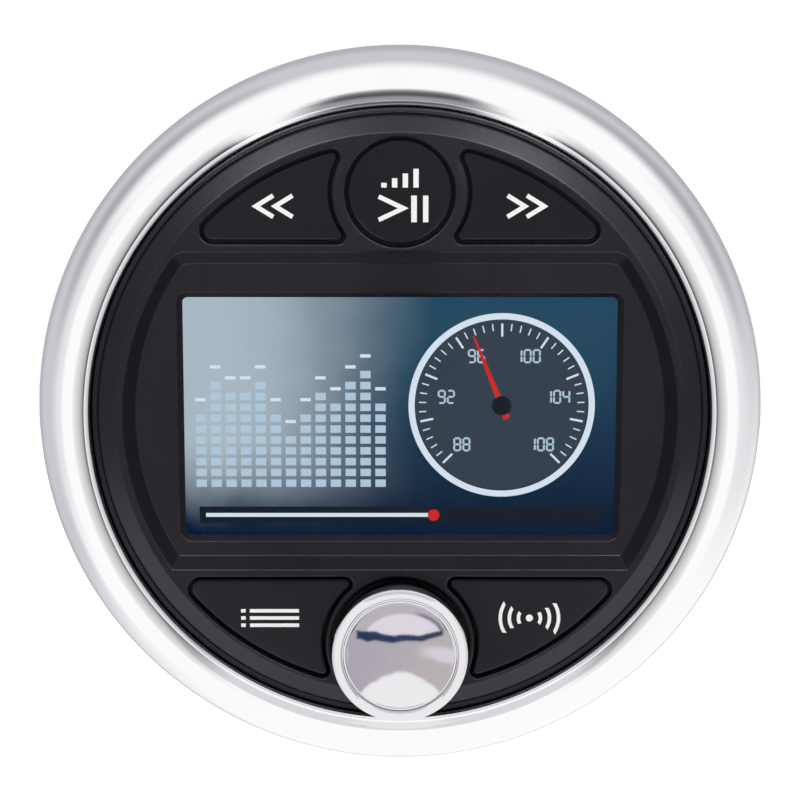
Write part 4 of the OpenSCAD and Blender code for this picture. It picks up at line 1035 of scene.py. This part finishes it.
def makeLamp(name, place, aim, size, power):
    lamp = bpy.data.objects.new(name, bpy.data.lights.new(name, "AREA"))
    lamp.data.shape, lamp.data.size, lamp.data.size_y, lamp.data.energy = "RECTANGLE", size[0], size[1], power
    lamp.location = place
    lamp.rotation_euler = (Vector(aim) - Vector(place)).to_track_quat("-Z", "Y").to_euler()
    scene.collection.objects.link(lamp)
    return lamp


def makeLamps():
    for name, place, size, power in softLamps:
        makeLamp(name, place, softAim, size, power).visible_glossy = False
    for name, pieces in glossOn.items():
        group = bpy.data.collections.new(name)
        for piece in pieces:
            group.objects.link(bpy.data.objects[piece])
    for name, place, size, power, group in glossLamps:
        lamp = makeLamp(name, place, glossAim, size, power)
        lamp.data.color = glossTint
        lamp.visible_diffuse = False
        lamp.light_linking.receiver_collection = bpy.data.collections[group]


# Painted reflections: tones of the surround that mirrors alone see, and the ranges of direction where they
# begin and end
worldForm = {"white": (1, 1, 1), "plain": (0.5, 0.5, 0.5), "beside": (0.8, 0.8, 0.82),
             "far": (0.6, 0.59, 0.63), "deep": (0.46, 0.45, 0.49), "dusk": (0.4, 0.39, 0.44), "warp": 0.5,
             "behind": (-0.02, 0.38), "rise": (-0.7, -0.15), "high": (0.72, 0.93), "rear": (0.6, 0.95),
             "sideX": (0.45, 0.9), "sideY": (-0.85, -0.3), "sideZ": (0.25, 0.7), "straightBack": (0.72, 0.97),
             "backShare": 0.75, "behindSway": 0.15, "riseTilt": 0.35, "riseSway": 0.2, "highX": 0.8,
             "highZ": 0.55, "backSway": 0.05}


def makeWorld(form):
    scene.world = bpy.data.worlds.new("studio")
    tree = Tree(scene.world)
    toward = tree.add("ShaderNodeTexCoord", give="Generated")
    x, y, z = tree.axes(toward)
    warp = tree.noise(toward, form["warp"], 2) - 0.5
    white, plain, deep = opaque(*form["white"]), opaque(*form["plain"]), opaque(*form["deep"])
    behind = tree.stretch(y + warp * form["behindSway"], *form["behind"])
    behind = behind * tree.stretch(z - x * form["riseTilt"] + warp * form["riseSway"], *form["rise"])
    high = tree.stretch(abs(x) * form["highX"] + z * form["highZ"], *form["high"])
    sides = tree.stretch(abs(x), *form["sideX"]) * tree.stretch(abs(z), *form["sideZ"], 1, 0)
    sides = sides * tree.stretch(y, *form["sideY"])
    front = tree.mix(sides, white, opaque(*form["beside"]))
    rear = tree.mix(tree.stretch(y, *form["rear"]), opaque(*form["far"]), deep)
    tone = tree.mix(behind, front, tree.mix(high, rear, opaque(*form["dusk"])))
    back = tree.stretch(y + warp * form["backSway"], *form["straightBack"], 0, form["backShare"])
    tone = tree.mix(back, tone, deep)
    tone = tree.mix(tree.ray("Glossy"), plain, tone)
    straight = tree.ray("Camera") + tree.ray("Transmission")
    sky = tree.add("ShaderNodeBackground", {}, {"Color": tree.mix(straight, tone, white), "Strength": 1.0})
    tree.add("ShaderNodeOutputWorld", {}, {"Surface": sky})


def floorFinish(form):
    finish, tree = newFinish("floor_pale")
    straight = tree.ray("Camera") + tree.ray("Transmission")
    matt = tree.add("ShaderNodeBsdfDiffuse", {}, {"Color": opaque(*form["tone"])})
    seen = tree.mix(straight, opaque(0, 0, 0), opaque(*form["lift"]))
    lift = tree.add("ShaderNodeEmission", {}, {"Color": seen, "Strength": 1.0})
    both = tree.add("ShaderNodeAddShader", {}, {0: matt, 1: lift})
    tree.add("ShaderNodeOutputMaterial", {}, {"Surface": both})
    return finish


def flatPiece(name, corners, finish):  # a single face for the stage
    mesh = bpy.data.meshes.new(name)
    mesh.from_pydata(corners, [], [tuple(range(len(corners)))])
    piece = bpy.data.objects.new(name, mesh)
    piece.data.materials.append(finish)
    scene.collection.objects.link(piece)
    return piece


def makeFloor(form):
    rim = [(x, y, form["z"]) for x, y in circleLoop(form["r"])]
    floor = flatPiece("floor", rim, floorFinish(form))
    floor.visible_glossy = floor.visible_shadow = False


# Cards that mirrors alone see, from one side, which paint reflections and shade into the chrome: upright and
# lying before the knob's dish, a roof and two sides
uprightForm = {"w": 0.005, "y": -0.0225, "low": -0.0425, "high": -0.0325, "grain": 0.0025, "sway": 0.0012,
               "edgeSway": 0.001, "foot": (-0.0393, -0.0388), "footBow": 138, "side": (0.0046, 0.005),
               "lineTop": (-0.03597, -0.03585), "lineFoot": (-0.0366, -0.0364), "lineBow": 36,
               "lineTilt": 0.05, "lineEnd": (0.0036, 0.0039), "warmFrom": (0.0185, 0.0275),
               "warmTilt": 0.6, "warmSway": 0.004, "patchZ": -0.037, "patchTilt": 0.12,
               "patchZone": (0.0002, 0.0008), "patchFrom": (0.001, 0.003), "lensAt": (0.0003, -0.0362),
               "lensHalf": (0.0033, 0.0019), "lensSway": 0.25, "lensEdge": (0.95, 1.1), "arcIn": (1.0, 1.1),
               "arcOut": (1.25, 1.4), "arcFrom": (0.0008, 0.002), "arcShare": 0.85,
               "cool": (0.49, 0.46, 0.52), "warm": (0.58, 0.53, 0.53), "patch": (0.78, 0.76, 0.82),
               "line": (0.02, 0.04, 0.1), "lens": (0.85, 0.825, 0.87), "rim": (0.57, 0.53, 0.58),
               "arc": (0.16, 0.16, 0.22)}
lyingForm = {"w": 0.0095, "near": -0.0145, "far": -0.22, "z": 0.012, "grain": 0.014, "fade": (-0.16, -0.045),
             "fadeSway": 0.01, "side": (0.004, 0.0085), "sideSway": 0.003, "paleFrom": (-0.045, -0.025),
             "dark": (0.1, 0.095, 0.105), "pale": (0.32, 0.32, 0.37)}
roofForm = {"w": 0.052, "near": -0.035, "far": -0.24, "z": 0.02, "grain": 0.014, "fade": (-0.24, -0.16),
            "side": (0.044, 0.052), "tone": (0.71, 0.7, 0.73)}
sideForm = {"x": 0.012, "near": -0.0145, "far": -0.25, "low": -0.07, "high": 0.03, "grain": 0.014,
            "reach": 0.028, "from": 0.014, "fade": (-0.25, -0.13), "nearZone": (-0.036, -0.017),
            "nearShare": 0.4, "tiltY": -0.012, "tilt": 0.18, "height": (0.014, 0.021), "sway": 0.006,
            "tone": (0.1, 0.095, 0.115)}


# painted reflection in the knob's chrome: cool and warm mauve, a pale patch, a dark bowed line, and above it
# a pale ellipse named lens with a mauve rim and a dark arc
def uprightTone(tree, form, x, y, z, warp):
    tones = {key: opaque(*form[key]) for key in ("cool", "warm", "patch", "line", "lens", "rim", "arc")}
    edge = abs(x) + warp * form["edgeSway"]
    mask = tree.stretch(z + x * x * form["footBow"] + warp * form["sway"], *form["foot"])
    mask = mask * tree.stretch(edge, *form["side"], 1, 0)
    bowed = z - x * x * form["lineBow"] + warp * form["sway"]
    line = tree.stretch(bowed - x * form["lineTilt"], *form["lineFoot"])
    line = line * tree.stretch(edge, *form["lineEnd"], 1, 0)
    patch = abs(z + x * form["patchTilt"] - form["patchZ"]) + warp * form["edgeSway"]
    patch = tree.stretch(patch, *form["patchZone"], 1, 0) * tree.stretch(x, *form["patchFrom"])
    warmth = tree.stretch(x - z * form["warmTilt"] + warp * form["warmSway"], *form["warmFrom"])
    lower = tree.mix(patch, tree.mix(warmth, tones["cool"], tones["warm"]), tones["patch"])
    lower = tree.mix(line, lower, tones["line"])
    (lensX, lensZ), (halfW, halfH) = form["lensAt"], form["lensHalf"]
    across, up = (x - lensX) / halfW, (z - lensZ) / halfH
    lens = across * across + up * up + warp * form["lensSway"]
    upper = tree.mix(tree.stretch(lens, *form["lensEdge"]), tones["lens"], tones["rim"])
    arc = tree.stretch(lens, *form["arcIn"]) * tree.stretch(lens, *form["arcOut"], 1, 0)
    arc = arc * tree.stretch(x, *form["arcFrom"]) * form["arcShare"]
    upper = tree.mix(arc, upper, tones["arc"])
    return mask, tree.mix(tree.stretch(bowed, *form["lineTop"]), lower, upper)


# painted shade: a dark sheet that the chrome mirrors, paler towards the face
def lyingTone(tree, form, x, y, z, warp):
    mask = tree.stretch(y + warp * form["fadeSway"], *form["fade"])
    mask = mask * tree.stretch(abs(x) + warp * form["sideSway"], *form["side"], 1, 0)
    return mask, tree.mix(tree.stretch(y, *form["paleFrom"]), opaque(*form["dark"]), opaque(*form["pale"]))


# painted shade: dark upright sheets to the left and right that the chrome mirrors, fading out with distance
# from the face
def sideTone(tree, form, x, y, z, warp):
    mask = form["reach"] / (form["from"] - y) * tree.stretch(y, *form["fade"])
    mask = mask + tree.stretch(y, *form["nearZone"], 0, form["nearShare"])
    level = z - (y - form["tiltY"]) * form["tilt"]
    return mask * tree.stretch(abs(level) + warp * form["sway"], *form["height"], 1, 0), opaque(*form["tone"])


# painted shade: a grey roof that the chrome mirrors as a soft grey band, fading out far from the face
def roofTone(tree, form, x, y, z, warp):
    return tree.stretch(y, *form["fade"]) * tree.stretch(abs(x), *form["side"], 1, 0), opaque(*form["tone"])


def cardFinish(name, toneOf, form):  # a painted reflection: a tone with soft edges, seen from the front alone
    finish, tree = newFinish(name)
    at = tree.place()
    mask, tone = toneOf(tree, form, *tree.axes(at), tree.noise(at, form["grain"], 4) - 0.5)
    lit = tree.add("ShaderNodeEmission", {}, {"Color": tone, "Strength": 1.0})
    facing = 1 - tree.add("ShaderNodeNewGeometry", give="Backfacing")
    clear = tree.add("ShaderNodeBsdfTransparent")
    both = tree.add("ShaderNodeMixShader", {}, {0: mask * facing, 1: clear, 2: lit})
    tree.add("ShaderNodeOutputMaterial", {}, {"Surface": both})
    return finish


def makeCard(name, corners, finish):
    card = flatPiece(name, corners, finish)
    card.visible_camera = card.visible_diffuse = card.visible_transmission = card.visible_shadow = False


def levelCorners(w, first, last, z):  # looks up where the first edge is the far one, and else down
    return [(-w, first, z), (w, first, z), (w, last, z), (-w, last, z)]


def makeCards(upright, lying, roof, side):
    w, y, low, high = [upright[key] for key in ("w", "y", "low", "high")]
    makeCard("card_upright", [(-w, y, high), (w, y, high), (w, y, low), (-w, y, low)],
             cardFinish("card_mauve", uprightTone, upright))
    makeCard("card_lying", levelCorners(lying["w"], lying["far"], lying["near"], lying["z"]),
             cardFinish("card_dark", lyingTone, lying))
    makeCard("card_roof", levelCorners(roof["w"], roof["near"], roof["far"], roof["z"]),
             cardFinish("card_pale", roofTone, roof))
    near, far, low, high = [side[key] for key in ("near", "far", "low", "high")]
    sideFinish = cardFinish("card_side", sideTone, side)
    for name, x, first, last in (("card_left", -side["x"], near, far), ("card_right", side["x"], far, near)):
        makeCard(name, [(x, first, low), (x, last, low), (x, last, high), (x, first, high)], sideFinish)


makeCamera(cameraForm)
makeLamps()
makeWorld(worldForm)
makeFloor(floorForm)
makeCards(uprightForm, lyingForm, roofForm, sideForm)
scene.view_settings.view_transform = "Standard"
print("studio made")
